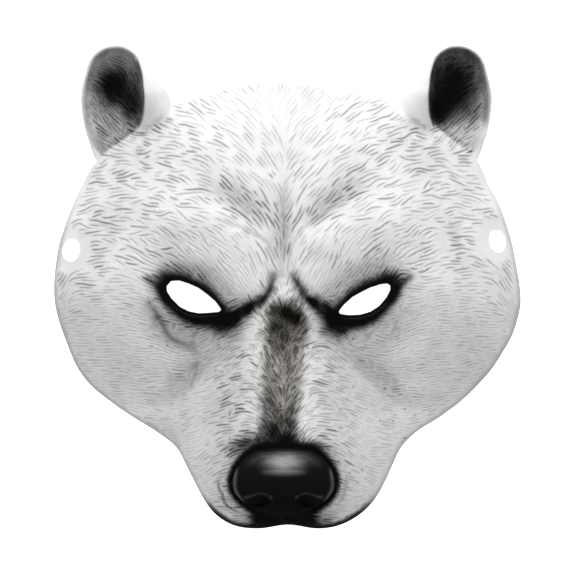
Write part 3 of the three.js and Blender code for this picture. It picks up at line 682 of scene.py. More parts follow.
def stroke_paths(start, lean):
    """Lines of 2 * MOST_STEPS + 1 points, grown from their middles to both ends."""
    turn = fur_angle(*start.T) + lean
    paths = [start]
    for sign in (-1, 1):
        at, way = start.copy(), sign * pair(np.cos(turn), np.sin(turn))
        for _ in range(MOST_STEPS):
            angle = fur_angle(*at.T) + lean
            step = pair(np.cos(angle), np.sin(angle))
            step *= np.sign(np.sum(step * way, axis=1) + 1e-9)[:, None]
            at = at + STEP * step
            way = step
            paths.insert(0 if sign < 0 else len(paths), at)
    return np.stack(paths, axis=1)


# %% Laying the strokes
# Strands lie side by side, so each stroke that is laid offers places for the next ones
# one gap away on both sides. Later rounds fill what is left with short ones.
def fur_gap(x, y):
    forehead, muzzle = fur_zone(x, y)
    middle = (1 - smooth_step(np.abs(x + 2), 10, 18)) * (1 - smooth_step(y, -4, 8))
    in_ear = (y > 62) * smooth_step(np.abs(x), 58, 66)
    return 1.22 + 0.25 * forehead - 0.2 * middle - 0.1 * muzzle - 0.3 * in_ear


def gap_at(place):
    return fur_gap(*place[:, None])[0]


taken = np.zeros(np.ceil((high - low) / CELL).astype(int) + 2 * MARGIN, dtype=bool)
strokes = []


def lay(start, longest, shortest):
    """Lays strokes from these middles where there is room; returns those it laid."""
    start = start[inside(start, outer_loop)]
    lean = rng.normal(0, math.radians(1.5), len(start))
    made = stroke_paths(start, lean)
    free = bare_foam(*made[:, 1::2].reshape(-1, 2).T).reshape(len(made), -1) < 0.5
    forehead, muzzle = fur_zone(*start.T)
    steps = longest * (0.62 + 0.38 * forehead) * rng.uniform(0.55, 1.3, len(start)) / 2 / STEP
    gaps = fur_gap(*start.T)
    laid = []
    half = np.minimum(np.arange(2 * MOST_STEPS + 1) // 2, MOST_STEPS - 1)
    for k in range(len(start)):
        cells = ((made[k] - low) / CELL).astype(int) + MARGIN
        clear = ~taken[cells[:, 0], cells[:, 1]] & free[k, half]
        if not clear[MOST_STEPS]:
            continue
        ends = [0, 0]
        for end, sign in enumerate((-1, 1)):
            while ends[end] < min(MOST_STEPS, int(steps[k])) and clear[MOST_STEPS + sign * (ends[end] + 1)]:
                ends[end] += 1
        if sum(ends) * STEP < shortest:
            continue
        part = slice(MOST_STEPS - ends[0], MOST_STEPS + ends[1] + 1)
        r = 0.78 * gaps[k] / CELL
        span = np.arange(-math.ceil(r), math.ceil(r) + 1)
        ox, oy = (v.ravel() for v in np.meshgrid(span, span))
        disc = ox**2 + oy**2 <= r * r
        near = cells[part]
        taken[(near[:, :1] + ox[disc]).ravel(), (near[:, 1:] + oy[disc]).ravel()] = True
        laid.append(made[k, part])
    strokes.extend(laid)
    return laid


def beside(side):
    """A place one gap to one side of every stroke laid so far, somewhere along it."""
    seeds = []
    for path in strokes:
        k = rng.integers(0, len(path) - 1)
        way = path[k + 1] - path[k]
        out = np.array((-way[1], way[0])) / np.hypot(*way)
        seeds.append(path[k] + side * 1.02 * gap_at(path[k]) * out)
    return np.array(seeds)


lay(rng.uniform(low, high, (700, 2)), 15, 5)
for longest, shortest, rounds in ((17, 5, 14), (11, 3.2, 5)):
    for _ in range(rounds):
        for side in (-1, 1):
            lay(beside(side), longest, shortest)
    print(len(strokes), "strokes")
lengths = np.array([STEP * (len(path) - 1) for path in strokes])
print(len(strokes), "strokes, %.1f m in all, mean %.1f mm" % (lengths.sum() / 1000, lengths.mean()))

# %% [markdown]
# ## Where the paint lies
# Grey is wiped over the foam and stays in the grooves, and more grey is laid in the grooves,
# creases and hollows, along the lower edge and under the brows and eyes as painted shade.
# Black is sprayed, so its edges are soft, and then drawn out along the fur with a dry brush.
# The grey and the black are kept as a number at every point of the skin, worked out from the
# same loops and lines as the shape, so the liner follows the lids exactly. The materials turn
# the numbers into colour.

# %% Places round an eye
def eye_turned(eye, x, y):
    """A place seen from an eye's middle: millimetres outwards and upwards along its tilt."""
    out, up = turned(x - eye["x"] * HALF_WIDTH, y - eye["y"] * HALF_HEIGHT, eye["tilt"])
    return eye["side"] * out, up


# Round each eye: black spots (place, radii, strength), then lines from the outside in.
EYE_SPOTS = [(-16.5, -3.4, 5.0, 3.6, 1.0), (-14.5, -7.4, 5.0, 3.0, 0.8), (13.5, 3.0, 5.0, 3.0, 0.8)]
CREASE = [(16.8, -8.9), (8.9, -14.9), (2.4, -19.4), (-7.8, -19.7)]
OUTER_WEDGE = [(21.5, 0.2), (16, -1.2), (10.4, -3.6)]
INNER_LINES = [
    [(-23.5, -13.5), (-17, -9), (-12, -6.2), (-8.5, -2.6), (-6.6, 2.2), (-6.2, 5)],
    [(17.5, -11.5), (11.5, -6.9), (7.2, -4.1), (5.3, -0.5), (3.6, 2.6), (2.6, 4.6)],
]
STRIPE = table("y left right dark", [
    (4, -3.5, 0.5, 0.0), (-2, -5, 2.6, 0.12), (-6.5, -7.2, 4.8, 0.72), (-9.5, -9.2, 6.8, 0.93),
    (-15, -10.1, 8.8, 0.92), (-21, -10.8, 8.2, 0.84), (-28, -11.2, 7.5, 0.74), (-38, -11.8, 6.8, 0.7),
    (-47, -12, 5.5, 0.74), (-55, -12, 4.6, 0.84), (-61, -12.5, 4.5, 0.92), (-68, -14, 5, 0.95),
])


# %% Black paint on the foam
def eye_black(eye, loop, x, y):
    d = away_from(x, y, loop)
    out, up = eye_turned(eye, x, y)
    above = smooth_step(up, -2.0, 1.5)
    wide = 4.2 + 1.8 * smooth_step(-out, -8, 8)
    low = (1 - smooth_step(d, wide - 2.2, wide + 2.4)) * (1 - 0.3 * np.exp(-(((d - 1.75) / 0.4) ** 2)))
    fade = 4.6 - 1.3 * smooth_step(-out, 0, 11) + 0.5 * soft_noise(x, y, 7, 33)
    high = np.minimum(1.12 * np.exp(-((d / fade) ** 1.8)), 1)
    layers = [mix(low, high, above), 1 - smooth_step(d, 0.5, 1.2), 0.2 * np.exp(-((d / 8) ** 2))]
    layers += [dark * patch(out, up, so, su, ro, ru) for so, su, ro, ru, dark in EYE_SPOTS]
    wedge, along = line_distance(x, y, [eye_point(eye, *p) for p in OUTER_WEDGE])
    layers.append((0.55 + 0.4 * along) * np.exp(-((wedge / (1.6 + 1.4 * along)) ** 2)))
    # Painted shade: grey-black along the crease under the left eye.
    crease, _ = line_distance(x, y, [eye_point(eye, *p) for p in CREASE])
    layers.append((0.3 if eye["side"] < 0 else 0.0) * np.exp(-((crease / 2.2) ** 2)))
    return join(*layers)


def ear_share(x, y, side):
    """How far a point lies in an ear's cup: 1 inside the lip and clear of the head."""
    turn, reach = ear_polar(x, y, side)
    lip = HALF_WIDTH * read(EAR, "turn", "lip", turn)
    proud = smooth_step(ear_height(x, y, side) - face_height(x, y), 0.1, 0.9)
    _, past = edge_share(x / HALF_WIDTH, y / HALF_HEIGHT)
    proud = np.maximum(proud, smooth_step(past, 0.995, 1.01))
    return (1 - smooth_step(reach - lip, -1.0, 0.2)) * proud * (y > 50)


EAR_CORES = {
    -1: [(-75.2, 87.2, 8.4, 8.8, 1.0), (-68.0, 79.0, 5.5, 8.0, 0.75)],
    1: [(-73.2, 86.4, 10.0, 12.4, 1.0), (-67.0, 76.5, 5.5, 7.5, 0.95)],
}


def ear_black(x, y, side):
    mx = x if side < 0 else -x - RIGHT_EAR_IN
    layers = [dark * patch(mx, y, cx, cy, rx, ry, 12, 1.3) for cx, cy, rx, ry, dark in EAR_CORES[side]]
    cup = 0.36 + 0.14 * smooth_step(y, 62, 79) - 0.14 * smooth_step(y, 88, 98)
    if side > 0:
        cup = 0.22 + 0.36 * smooth_step(y, 67, 75)
    cup = cup - 0.2 * smooth_step(-mx, 81, 88) + 0.07 * soft_noise(mx, y, 9, 21)
    return ear_share(x, y, side) * join(*layers, cup)


def black_paint(x, y):
    layers = [eye_black(eye, loop, x, y) for eye, loop in zip(EYES, eye_loops)]
    rough = 0.93 + 0.14 * soft_noise(x, y, 5, 31)
    for line in INNER_LINES:
        d, along = line_distance(x, y, line)
        core = np.exp(-((d / (3.5 - 0.7 * along)) ** 1.9))
        layers.append(rough * np.minimum((1.35 - 0.75 * along) * core, 1))
    dark, left, right = (read(STRIPE, "y", c, y) for c in ("dark", "left", "right"))
    middle, half = (left + right) / 2, (right - left) / 2
    across = np.abs(x - middle + 0.7 * soft_noise(x, y, 3, 34)) / (1.06 * half)
    stripe = dark * np.exp(-(across**6)) * (y < 5)
    layers.append(stripe * (0.96 + 0.1 * soft_noise(x, y, 8, 32)))
    d = nose_distance(x, y)
    layers.append(1 - smooth_step(d, 0.9, 3.8))
    layers.append(0.75 * patch(x, y, -18, -65.0, 7.5, 3.0, 18) + 0.6 * patch(x, y, 10, -65.8, 8, 2.4, -14))
    layers.append(0.2 * np.exp(-((np.maximum(d, 0) / 5) ** 2)))
    layers.append(1.3 * patch(x, y, -1, -97.5, 15.5, 6.5, 0, 1.8))
    lip = (1 - smooth_step(away_from(x, y, outer_loop), 0.8, 3.2)) * smooth_step(-y, 86, 96)
    layers.append(0.9 * lip)
    layers += [ear_black(x, y, side) for side in (-1, 1)]
    return join(*layers)


# %% Grey film and painted shade on the foam
FURROWS = [(-17.5, 36, 13, 5.5, -42), (18.5, 37, 15, 5, 36), (-3, 22, 5, 15, 0)]


def furrow_share(x, y):
    return join(*(patch(x, y, *furrow) for furrow in FURROWS))


def blurred(field, reach):
    """A grid's values, each the mean of a square round it, twice over."""
    for _ in range(2):
        for axis in (0, 1):
            field = sum(np.roll(field, k, axis) for k in range(-reach, reach + 1)) / (2 * reach + 1)
    return field


# Painted shade: grey is laid in the hollows of the form, wherever the front lies below its surroundings.
form = smooth_height(fx.ravel(), fy.ravel()).reshape(fx.shape)
hollow_field = blurred(form, 3) - form


def hollow(x, y):
    i, j = (np.clip(((k + FIELD_END) / FIELD).round().astype(int), 0, len(field_at) - 1) for k in (x, y))
    share = np.clip(0.8 * hollow_field[i, j], 0, 1)
    return share * smooth_step(away_from(x, y, outer_loop), 5, 12)


# The grey film is partly grey airbrushed on the lower face and muzzle, partly painted shade.
def grey_film_and_shade(x, y):
    # Grey below the eyes, less down the muzzle's middle: partly airbrush, partly painted shade of the parts
    # turned away from the top light.
    sides = smooth_step(-y, -9, 13) * (1 - 0.75 * patch(x, y, -2, -45, 15, 60, 0, 2))
    patches = [
        0.23 * sides,
        # Painted shade in the frown furrows and down the midline crease.
        0.44 * furrow_share(x, y),
        0.08 * patch(x, y, -1.8, 30, 3.5, 24),
        # Painted shade along the trimmed edge of the lower face.
        0.3 * (1 - smooth_step(away_from(x, y, outer_loop), 0.6, 2.4)) * smooth_step(-y, -50, -20),
        # More grey on the muzzle's sides, partly airbrush and partly painted shade.
        0.24 * patch(x, y, -25, -48, 10, 28),
        0.22 * patch(x, y, 21, -48, 10, 28),
        0.08 * np.clip(soft_noise(x, y, 22, 41), 0, 1),
        # Painted shade in the hollows.
        0.4 * hollow(x, y),
    ]
    # Painted shade under each eye and under each brow.
    for eye in EYES:
        out, up = eye_turned(eye, x, y)
        patches.append((0.95 if eye["side"] < 0 else 0.62) * patch(out, up, -1, -12, 17, 6.5))
        patches.append(0.16 * patch(out, up, 8, 11, 14, 5))
    return join(*patches)


# %% How bold each stroke is
middles = np.array([path[len(path) // 2] for path in strokes])
forehead, muzzle = fur_zone(*middles.T)
cloud = np.clip(0.55 + 0.5 * soft_noise(*middles.T, 12, 3) + 0.25 * soft_noise(*middles.T, 5, 4), 0.1, 1.1)
bold = rng.uniform(0, 1, len(strokes)) < 0.03 + 0.12 * cloud
crown = patch(*middles.T, -4, 86, 36, 26)
near_ear = patch(np.abs(middles[:, 0]), middles[:, 1], 58, 62, 20, 14)
brow = patch(np.abs(middles[:, 0]), middles[:, 1], 27, 17, 15, 8)
# Strokes are bolder in the furrows, which adds to the painted shade there.
zone = 0.42 + 0.58 * forehead + 0.3 * muzzle + 0.45 * furrow_share(*middles.T) + 0.4 * near_ear
zone *= 1 - 0.62 * crown - 0.3 * brow
strength = zone * (0.45 + 0.55 * cloud) * rng.uniform(0.7, 1.25, len(strokes))
strength = np.where(bold, 1.4 * strength, strength)
stroke_depth = np.clip(0.36 + 0.5 * strength, 0.28, 0.88)
stroke_grey = np.clip(0.74 * strength, 0.07, 0.9)
stroke_width = 0.24 + 0.06 * np.clip(strength, 0, 1.4)
print("bold strokes:", int(bold.sum()))

# %% Strokes drawn in black
# Where the black thins out, whole strokes are black and others stay bare.
soot_there = black_paint(*middles.T)
on_ears = (middles[:, 1] > 55) & (np.abs(middles[:, 0]) > 50)
chance = 1.3 * soot_there * (soot_there > 0.08) * (1 - 0.85 * on_ears)
chance += 0.42 * patch(*middles.T, -19, -42, 7, 15) + 0.12 * patch(*middles.T, 14, -42, 7, 16)
chance += 0.5 * patch(*middles.T, -20, -64, 9, 5, 18) + 0.45 * patch(*middles.T, 13, -65, 9, 5, -14)
inked = rng.uniform(0, 1, len(strokes)) < chance
stroke_ink = np.where(inked, rng.uniform(0.18, 0.62, len(strokes)), 0.0)
stroke_depth = np.where(inked, np.maximum(stroke_depth, 0.26), stroke_depth)
print(int(inked.sum()), "strokes are drawn in black")

# %% Creases and folds, pressed deeper than the fur
# A curve through points, how deep, how grey, how black, how wide.
# The grey along each crease is painted shade of the crease.
FOLDS = [
    ([(-29.9, -79.4), (-27.8, -86), (-24.9, -91), (-18.7, -94.7)], 0.5, 0.5, 0.45, 0.45),
    ([(24.5, -80), (23.0, -87), (20.0, -91.5)], 0.35, 0.3, 0.12, 0.5),
    ([(-38, -30), (-40, -38), (-43, -46)], 0.25, 0.2, 0.03, 0.8),
    ([(-22, -13), (-17, -9), (-12, -6.2), (-8.5, -2.6), (-6.3, 2.2), (-4, 8)], 0.9, 0.3, 0.3, 0.9),
    ([(16, -11), (11.5, -6.9), (7.2, -4.1), (5.1, -0.5), (2.9, 2.6), (0, 8)], 0.8, 0.25, 0.25, 0.9),
    ([(-34, 29.5), (-24, 27), (-14.5, 22.5), (-7, 17), (-2.4, 9)], 0.45, 0.3, 0.04, 0.8),
    ([(27, 39), (16, 32), (7, 25), (1.5, 17), (-0.4, 9)], 0.35, 0.25, 0.02, 0.8),
    ([(-0.6, 50), (-1.6, 36), (-1.8, 22), (-1.6, 10)], 0.4, 0.2, 0.0, 0.8),
]
for eye in EYES:
    left = eye["side"] < 0
    FOLDS.append(([eye_point(eye, *p) for p in CREASE], 0.6 if left else 0.2, 0.3 if left else 0.1, 0.0, 1.0))
fold_places, fold_values = [], []
fold_places, fold_values = [], []
for number, (curve, depth, grey, ink, wide) in enumerate(FOLDS):
    line, along = curve_through(curve)
    at = np.arange(0, along[-1], 0.4)
    path = at_lengths(line, along, at)
    path += 0.3 * pair(soft_noise(*path.T, 5, 51 + number), soft_noise(*path.T, 5, 71 + number))
    share = at / along[-1]
    ease = smooth_step(share, -0.05, 0.25) * (1 - smooth_step(share, 0.7, 1.05))
    ease *= 0.9 + 0.15 * soft_noise(*path.T, 12, 91)
    fold_places.append(path)
    fold_values.append(np.outer(ease, (depth, grey, ink, 0)) + (0, 0, 0, wide))
fold_places, fold_values = np.vstack(fold_places), np.vstack(fold_values)

# %% [markdown]
# ## The fur as relief
# Every stroke is pressed into a fine height map of the whole face, a groove with two low
# ridges beside it where the foam was pushed up. The map is worked out here from the
# strokes and isn't an image: it only says how far each point of the mesh is lifted.

# %% The relief of the fur
GRAIN = 0.15
RIDGE_OUT = 0.66
RIDGE_WIDTH = 0.32
map_low = low - 3
map_size = np.ceil((high - low + 6) / GRAIN).astype(int)
groove_map, ridge_map, shade_map, ink_map = (np.zeros(map_size.prod(), dtype=np.float32) for _ in range(4))


def press(points, depth, grey, ink, width, reach=10, raised=1.0):
    """Presses round dents along points into the maps, each up to reach cells wide."""
    span = np.arange(-reach, reach + 1)
    ox, oy = (v.ravel() for v in np.meshgrid(span, span))
    cell = np.floor((points - map_low) / GRAIN).astype(int)
    for start in range(0, len(points), AT_ONCE):
        part = slice(start, start + AT_ONCE)
        gx, gy = cell[part, :1] + ox, cell[part, 1:] + oy
        px, py = points[part, :1] - map_low[0], points[part, 1:] - map_low[1]
        d = np.hypot((gx + 0.5) * GRAIN - px, (gy + 0.5) * GRAIN - py)
        index = (gx * map_size[1] + gy).ravel()
        groove = np.exp(-((d / width[part, None]) ** 2))
        ridge = raised * np.exp(-(((d - RIDGE_OUT) / RIDGE_WIDTH) ** 2))
        marks = [(shade_map, groove, grey), (ink_map, groove, ink)]
        marks += [(groove_map, groove, depth), (ridge_map, ridge, depth)]
        for field, shape, amount in marks:
            np.maximum.at(field, index, (shape * amount[part, None]).ravel().astype(np.float32))


def along_strokes(step, side=0.0, inset=0.0):
    """Points every step millimetres along all strokes, or beside them, and which stroke each is on."""
    places, owners, shares = [], [], []
    for k, path in enumerate(strokes):
        at = np.arange(inset, lengths[k] - inset + 1e-6, step)
        if len(at) < 2:
            continue
        own = STEP * np.arange(len(path))
        place = at_lengths(path, own, at)
        if side:
            way = np.gradient(place, axis=0)
            way /= np.hypot(*way.T)[:, None]
            place = place + side * np.stack([-way[:, 1], way[:, 0]], axis=1)
        places.append(place)
        owners.append(np.full(len(at), k))
        shares.append(at / lengths[k])
    return np.vstack(places), np.concatenate(owners), np.concatenate(shares)


# Each stroke's grey is partly wash kept in its groove and partly painted shade of the groove.
place, owner, share = along_strokes(0.3)
taper = smooth_step(share, -0.04, 0.22) * (1 - smooth_step(share, 0.6, 1.05))
values = [v[owner] * taper for v in (stroke_depth, stroke_grey, stroke_ink)]
press(place, *values, stroke_width[owner] * (0.6 + 0.4 * taper))
press(fold_places, *fold_values.T, reach=13, raised=0)
SPECKS = 70
specks = rng.uniform((-60, -92), (60, -8), (3 * SPECKS, 2))
specks = specks[inside(specks, outer_loop) & (nose_distance(*specks.T) > 4)][:SPECKS]
speck_ink = rng.uniform(0.1, 0.5, len(specks))
press(specks, 0.15 * speck_ink, 0.5 * speck_ink, speck_ink, rng.uniform(0.16, 0.3, len(specks)))
groove_map, ridge_map, shade_map, ink_map = (
    field.reshape(map_size) for field in (groove_map, ridge_map, shade_map, ink_map)
)
print("relief map of %d by %d, deepest groove %.2f mm" % (*map_size, groove_map.max()))


def sample(field, x, y):
    """The map's value at points, blended between its cells."""
    return lookup(field, (x - map_low[0]) / GRAIN - 0.5, (y - map_low[1]) / GRAIN - 0.5)


def front_height(x, y):
    return smooth_height(x, y) - sample(groove_map, x, y) + 0.7 * sample(ridge_map, x, y)


# %% [markdown]
# ## One closed skin
# The front's points follow the strokes: a row of points in each groove, one on each of
# its slopes and one beyond each ridge, and a loose grid between them that is denser round
# the eyes, on the nose and in the ears. A constrained Delaunay triangulation joins them
# and keeps the loops as edges. An even grid fine enough for the grooves would need
# several times as many triangles.

# %% Points for the front
CELLS = 4096
FINE, COARSE = 0.125, 0.24
ROW_STEP, FLANK_STEP = 0.86, 0.95


def thin_out(points, taken, cell):
    """Drops points that fall in a cell that an earlier point has, and marks the cells."""
    at = np.floor((points - map_low) / cell).astype(int)
    key = at[:, 0] * CELLS + at[:, 1]
    _, first = np.unique(key, return_index=True)
    first = np.sort(first)
    kept = first[~taken[key[first]]]
    for ox in (-1, 0, 1):
        for oy in (-1, 0, 1):
            taken[key[kept] + ox * CELLS + oy] = True
    return points[kept]


loops = [outer_loop] + eye_loops + lace_loops
INSETS = [0.5, 0.5, 0.5, 0.25, 0.25]
borders = [push(loop, -inset) for loop, inset in zip(loops, INSETS)]
taken = np.zeros(CELLS * CELLS, dtype=bool)
for border in borders:
    thin_out(border, taken, FINE)

spine = np.vstack([specks, along_strokes(ROW_STEP, 0, 0.1)[0]])
slopes_of_strokes = [along_strokes(ROW_STEP, side * 0.28, 0.1)[0] for side in (-1, 1)]
flanks = [along_strokes(FLANK_STEP, side * 0.62, 0.3)[0] for side in (-1, 1)]
# Rows along the ears' lips, so that the crest is one clean line.
lips = np.vstack([ear_line(side, 190, "lip", out) for side in (-1, 1) for out in (-0.7, 0, 0.7, 1.5)])
proud = np.maximum(ear_height(*lips.T, -1), ear_height(*lips.T, 1)) - face_height(*lips.T)
lips = lips[proud > 0.2]


def loose_grid(step, low, high):
    gx, gy = np.meshgrid(np.arange(low[0], high[0], step), np.arange(low[1], high[1], step))
    return pair(gx.ravel(), gy.ravel()) + rng.uniform(-0.22, 0.22, (gx.size, 2)) * step


fine_spots = [(eye["x"] * HALF_WIDTH, eye["y"] * HALF_HEIGHT, 21, 0.62) for eye in EYES]
fine_spots += [(side * 73, 82, 22, 0.8) for side in (-1, 1)] + [(*NOSE_MIDDLE, 30, 0.75)]
clouds = [thin_out(cloud, taken, FINE) for cloud in (lips, spine, *slopes_of_strokes)]
taken[:] = False
for cloud in clouds:
    thin_out(cloud, taken, COARSE)
clouds += [thin_out(cloud, taken, COARSE) for cloud in flanks]
for x, y, r, step in fine_spots:
    spot = loose_grid(step, (x - r, y - r), (x + r, y + r))
    spot = spot[np.hypot(*(spot - (x, y)).T) < r]
    clouds.append(thin_out(spot, taken, 0.24))
clouds.append(thin_out(loose_grid(1.15, low, high), taken, 0.24))
cloud = np.vstack(clouds)
keep = inside(cloud, push(outer_loop, -0.9))
for loop in eye_loops + lace_loops:
    keep &= ~inside(cloud, push(loop, -0.8))
cloud = cloud[keep]
print(len(cloud), "points on the front")


# %% Triangles between the points
def triangulate(borders, cloud):
    """Points and triangles within the first border and outside the others."""
    points = [Vector(p) for border in borders for p in border] + [Vector(p) for p in cloud]
    edges, start = [], 0
    for border in borders:
        n = len(border)
        edges += [(start + k, start + (k + 1) % n) for k in range(n)]
        start += n
    out_points, _, faces, origins, _, _ = delaunay_2d_cdt(points, edges, [], 0, 1e-5)
    xy = np.array([tuple(p) for p in out_points])
    faces = np.array(faces)
    middle = xy[faces].mean(axis=1)
    keep = inside(middle, borders[0])
    for border in borders[1:]:
        keep &= ~inside(middle, border)
    faces = faces[keep]
    place = np.full(len(points), -1)
    for k, names in enumerate(origins):
        for name in names:
            place[name] = k
    return xy, faces, place[: start]


def strip(a, b):
    """Two triangles for each step between two closed rows of points, given by their numbers."""
    a2, b2 = np.roll(a, -1), np.roll(b, -1)
    return np.vstack([np.column_stack([a, b, b2]), np.column_stack([a, b2, a2])])


def build_skin(borders, cloud, rings, borders_low, cloud_low, top, bottom):
    """A closed skin: front, back and the rings of points that join their borders."""
    xy, faces, place = triangulate(borders, cloud)
    low_xy, low_faces, low_place = triangulate(borders_low, cloud_low)
    points, triangles, count, at = [np.column_stack([xy, top(*xy.T)])], [faces], len(xy), 0
    back = count + sum(len(ring) for border_rings in rings for ring in border_rings)
    for border, border_rings in zip(borders, rings):
        n = len(border)
        rows = [place[at : at + n]]
        for ring in border_rings:
            points.append(ring)
            rows.append(np.arange(count, count + n))
            count += n
        rows.append(low_place[at : at + n] + back)
        at += n
        triangles += [strip(a, b) for a, b in zip(rows, rows[1:])]
    points.append(np.column_stack([low_xy, bottom(*low_xy.T)]))
    triangles.append(low_faces[:, ::-1] + back)
    return np.vstack(points), np.vstack(triangles), len(xy)


def wall_below(x, y):
    """The back of the wall, measured square to the front, and never below the table."""
    slope_x, slope_y = slopes(smooth_height, x, y)
    thick = WALL * np.minimum(np.sqrt(1 + slope_x**2 + slope_y**2), 2.4)
    return np.maximum(smooth_height(x, y) - thick, 0)


rings, borders_low = [], []
for k, loop in enumerate(loops):
    x, y = loop.T
    round_edge = INSETS[k]
    near = push(loop, -0.3 * round_edge)
    low_loop = loop if k < 3 else lace_loop(lace_seats[k - 3], WALL * math.hypot(1, *lace_seats[k - 3][3:]))
    floor = wall_below(*low_loop.T)
    edge_top = smooth_height(x, y) - 0.8 * round_edge
    floor = np.minimum(floor, edge_top - 0.6)
    rings.append([
        np.column_stack([near, smooth_height(*near.T) - 0.22 * round_edge]),
        np.column_stack([loop, edge_top]),
        np.column_stack([low_loop, floor + 0.3]),
    ])
    borders_low.append(push(low_loop, -0.3))
low_cloud = loose_grid(2.6, low, high)
keep = inside(low_cloud, push(outer_loop, -2.2))
for border in borders_low[1:]:
    keep &= ~inside(low_cloud, push(border, -1.6))
points, triangles, front_count = build_skin(
    borders, cloud, rings, borders_low, low_cloud[keep], front_height, wall_below
)
print("skin of %d points and %d triangles" % (len(points), len(triangles)))

# %% The paint at every point of the skin
x, y = points[:, 0].copy(), points[:, 1].copy()
crest = np.clip(sample(ridge_map, x, y) / 0.3, 0, 1)
groove = sample(shade_map, x, y)
soot = black_paint(x, y)
thin = soot * (1 - soot) * 4
in_ear = (y > 55) & (np.abs(x) > 50)
warm = patch(x, y, -2, -30, 12, 42, 0, 2)
lighter = np.where(in_ear, 0.12, 0.1 + 0.24 * warm)
soot = np.clip(soot - lighter * crest * thin + 0.25 * groove * np.sqrt(soot), 0, 1)
soot = join(soot, sample(ink_map, x, y))
# The grey in the grooves: partly wash that stays there, partly painted shade of the grooves.
groove_grey_and_shade = groove
between = 0.03 * (1 - patch(x, y, -4, 86, 40, 30))
film_and_shade = np.clip(join(grey_film_and_shade(x, y), between) * (1 - 0.35 * crest), 0, 1)
for field in (soot, groove_grey_and_shade, film_and_shade, warm):
    field[front_count + 2 * sum(len(loop) for loop in loops) :] = 0
print("black covers %.1f %% of the points" % (100 * (soot > 0.5).mean()))


# %% Turning points into an object
def make_mesh(name, points, triangles, numbers=None):
    """An object in metres in the frame, smooth shaded, with numbers kept at its points."""
    mesh = bpy.data.meshes.new(name)
    placed = (points + (*shift, 0)) * MM
    mesh.vertices.add(len(points))
    mesh.vertices.foreach_set("co", placed.astype(np.float32).ravel())
    mesh.loops.add(3 * len(triangles))
    mesh.loops.foreach_set("vertex_index", triangles.astype(np.int32).ravel())
    mesh.polygons.add(len(triangles))
    mesh.polygons.foreach_set("loop_start", np.arange(0, 3 * len(triangles), 3, dtype=np.int32))
    mesh.polygons.foreach_set("loop_total", np.full(len(triangles), 3, dtype=np.int32))
    mesh.update(calc_edges=True)
    mesh.validate()
    mesh.shade_smooth()
    for key, values in (numbers or {}).items():
        kept = mesh.attributes.new(key, "FLOAT", "POINT")
        kept.data.foreach_set("value", np.asarray(values, dtype=np.float32))
    made = bpy.data.objects.new(name, mesh)
    bpy.context.collection.objects.link(made)
    return made


skin = make_mesh("foam_skin", points, triangles, {"soot": soot, "groove_grey_and_shade": groove_grey_and_shade, "film_and_shade": film_and_shade, "warm": warm})
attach(skin, "root")
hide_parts("mask_shell")
print("foam_skin", len(skin.data.polygons), "triangles")

# %% [markdown]
# ## The nose pad
# The nose is part of the moulding, a rounded pad with two nostrils under thick gloss
# paint. It is a mesh of its own here because it is smooth, so it needs rings of faces
# that follow its edge and the nostrils and not the fur's points.

# %% The nose
NOSE_LIFT = 12.5
NOSE_ROUND = 0.2 * NOSE_WIDTH
NOSTRIL_OUT, NOSTRIL_Y, NOSTRIL_TURN = 10.6, -88.2, -14
# Each nostril is a dent in a soft swelling: the two radii, the power and the height.
NOSTRIL_FORMS = [(5.2, 2.6, 2.5, -5.5), (7.2, 4.6, 3, 0.6)]


def nose_height(x, y):
    across = np.abs(x - NOSE_MIDDLE[0]) / (NOSE_WIDTH / 2 * read(NOSE, "y", "half", y / HALF_HEIGHT))
    fall = NOSE_ROUND * (0.2 * across**2 + 1.1 * across**6)
    z = MUZZLE_HEIGHT + NOSE_LIFT * read(NOSE, "y", "lift", y / HALF_HEIGHT) - fall
    for side in (-1, 1):
        for rx, ry, power, height in NOSTRIL_FORMS:
            middle = NOSE_MIDDLE[0] + side * NOSTRIL_OUT
            z = z + height * patch(x, y, middle, NOSTRIL_Y, rx, ry, side * NOSTRIL_TURN, power)
    return z


RINGS = 48
RIM_STEP = 0.77
edge = even_loop(nose_loop(400), RIM_STEP)
outs = 1 - (1 - np.arange(1, RINGS + 1) / RINGS) ** 1.6
ring = NOSE_MIDDLE + outs[:, None, None] * (edge - NOSE_MIDDLE)
beneath = smooth_height(*ring.reshape(-1, 2).T).reshape(ring.shape[:2])
ring_z = np.maximum(nose_height(ring[..., 0], ring[..., 1]), beneath - 1.0)
foot_z = beneath[-1] - 1.2
ring = np.concatenate([ring, ring[-1:], NOSE_MIDDLE + 0.5 * (ring[-1:] - NOSE_MIDDLE)])
ring_z = np.vstack([ring_z, foot_z, foot_z])
nose_points = np.vstack([
    [[*NOSE_MIDDLE, nose_height(*NOSE_MIDDLE)]],
    np.column_stack([ring.reshape(-1, 2), ring_z.ravel()]),
    [[*NOSE_MIDDLE, foot_z.mean()]],
])
rows = 1 + np.arange(ring_z.size).reshape(ring_z.shape)
tip, foot = np.zeros(len(edge), int), np.full(len(edge), len(nose_points) - 1)
nose_faces = [np.column_stack([tip, rows[0], np.roll(rows[0], -1)])]
nose_faces += [strip(a, b) for a, b in zip(rows, rows[1:])]
nose_faces.append(np.column_stack([rows[-1], foot, np.roll(rows[-1], -1)]))

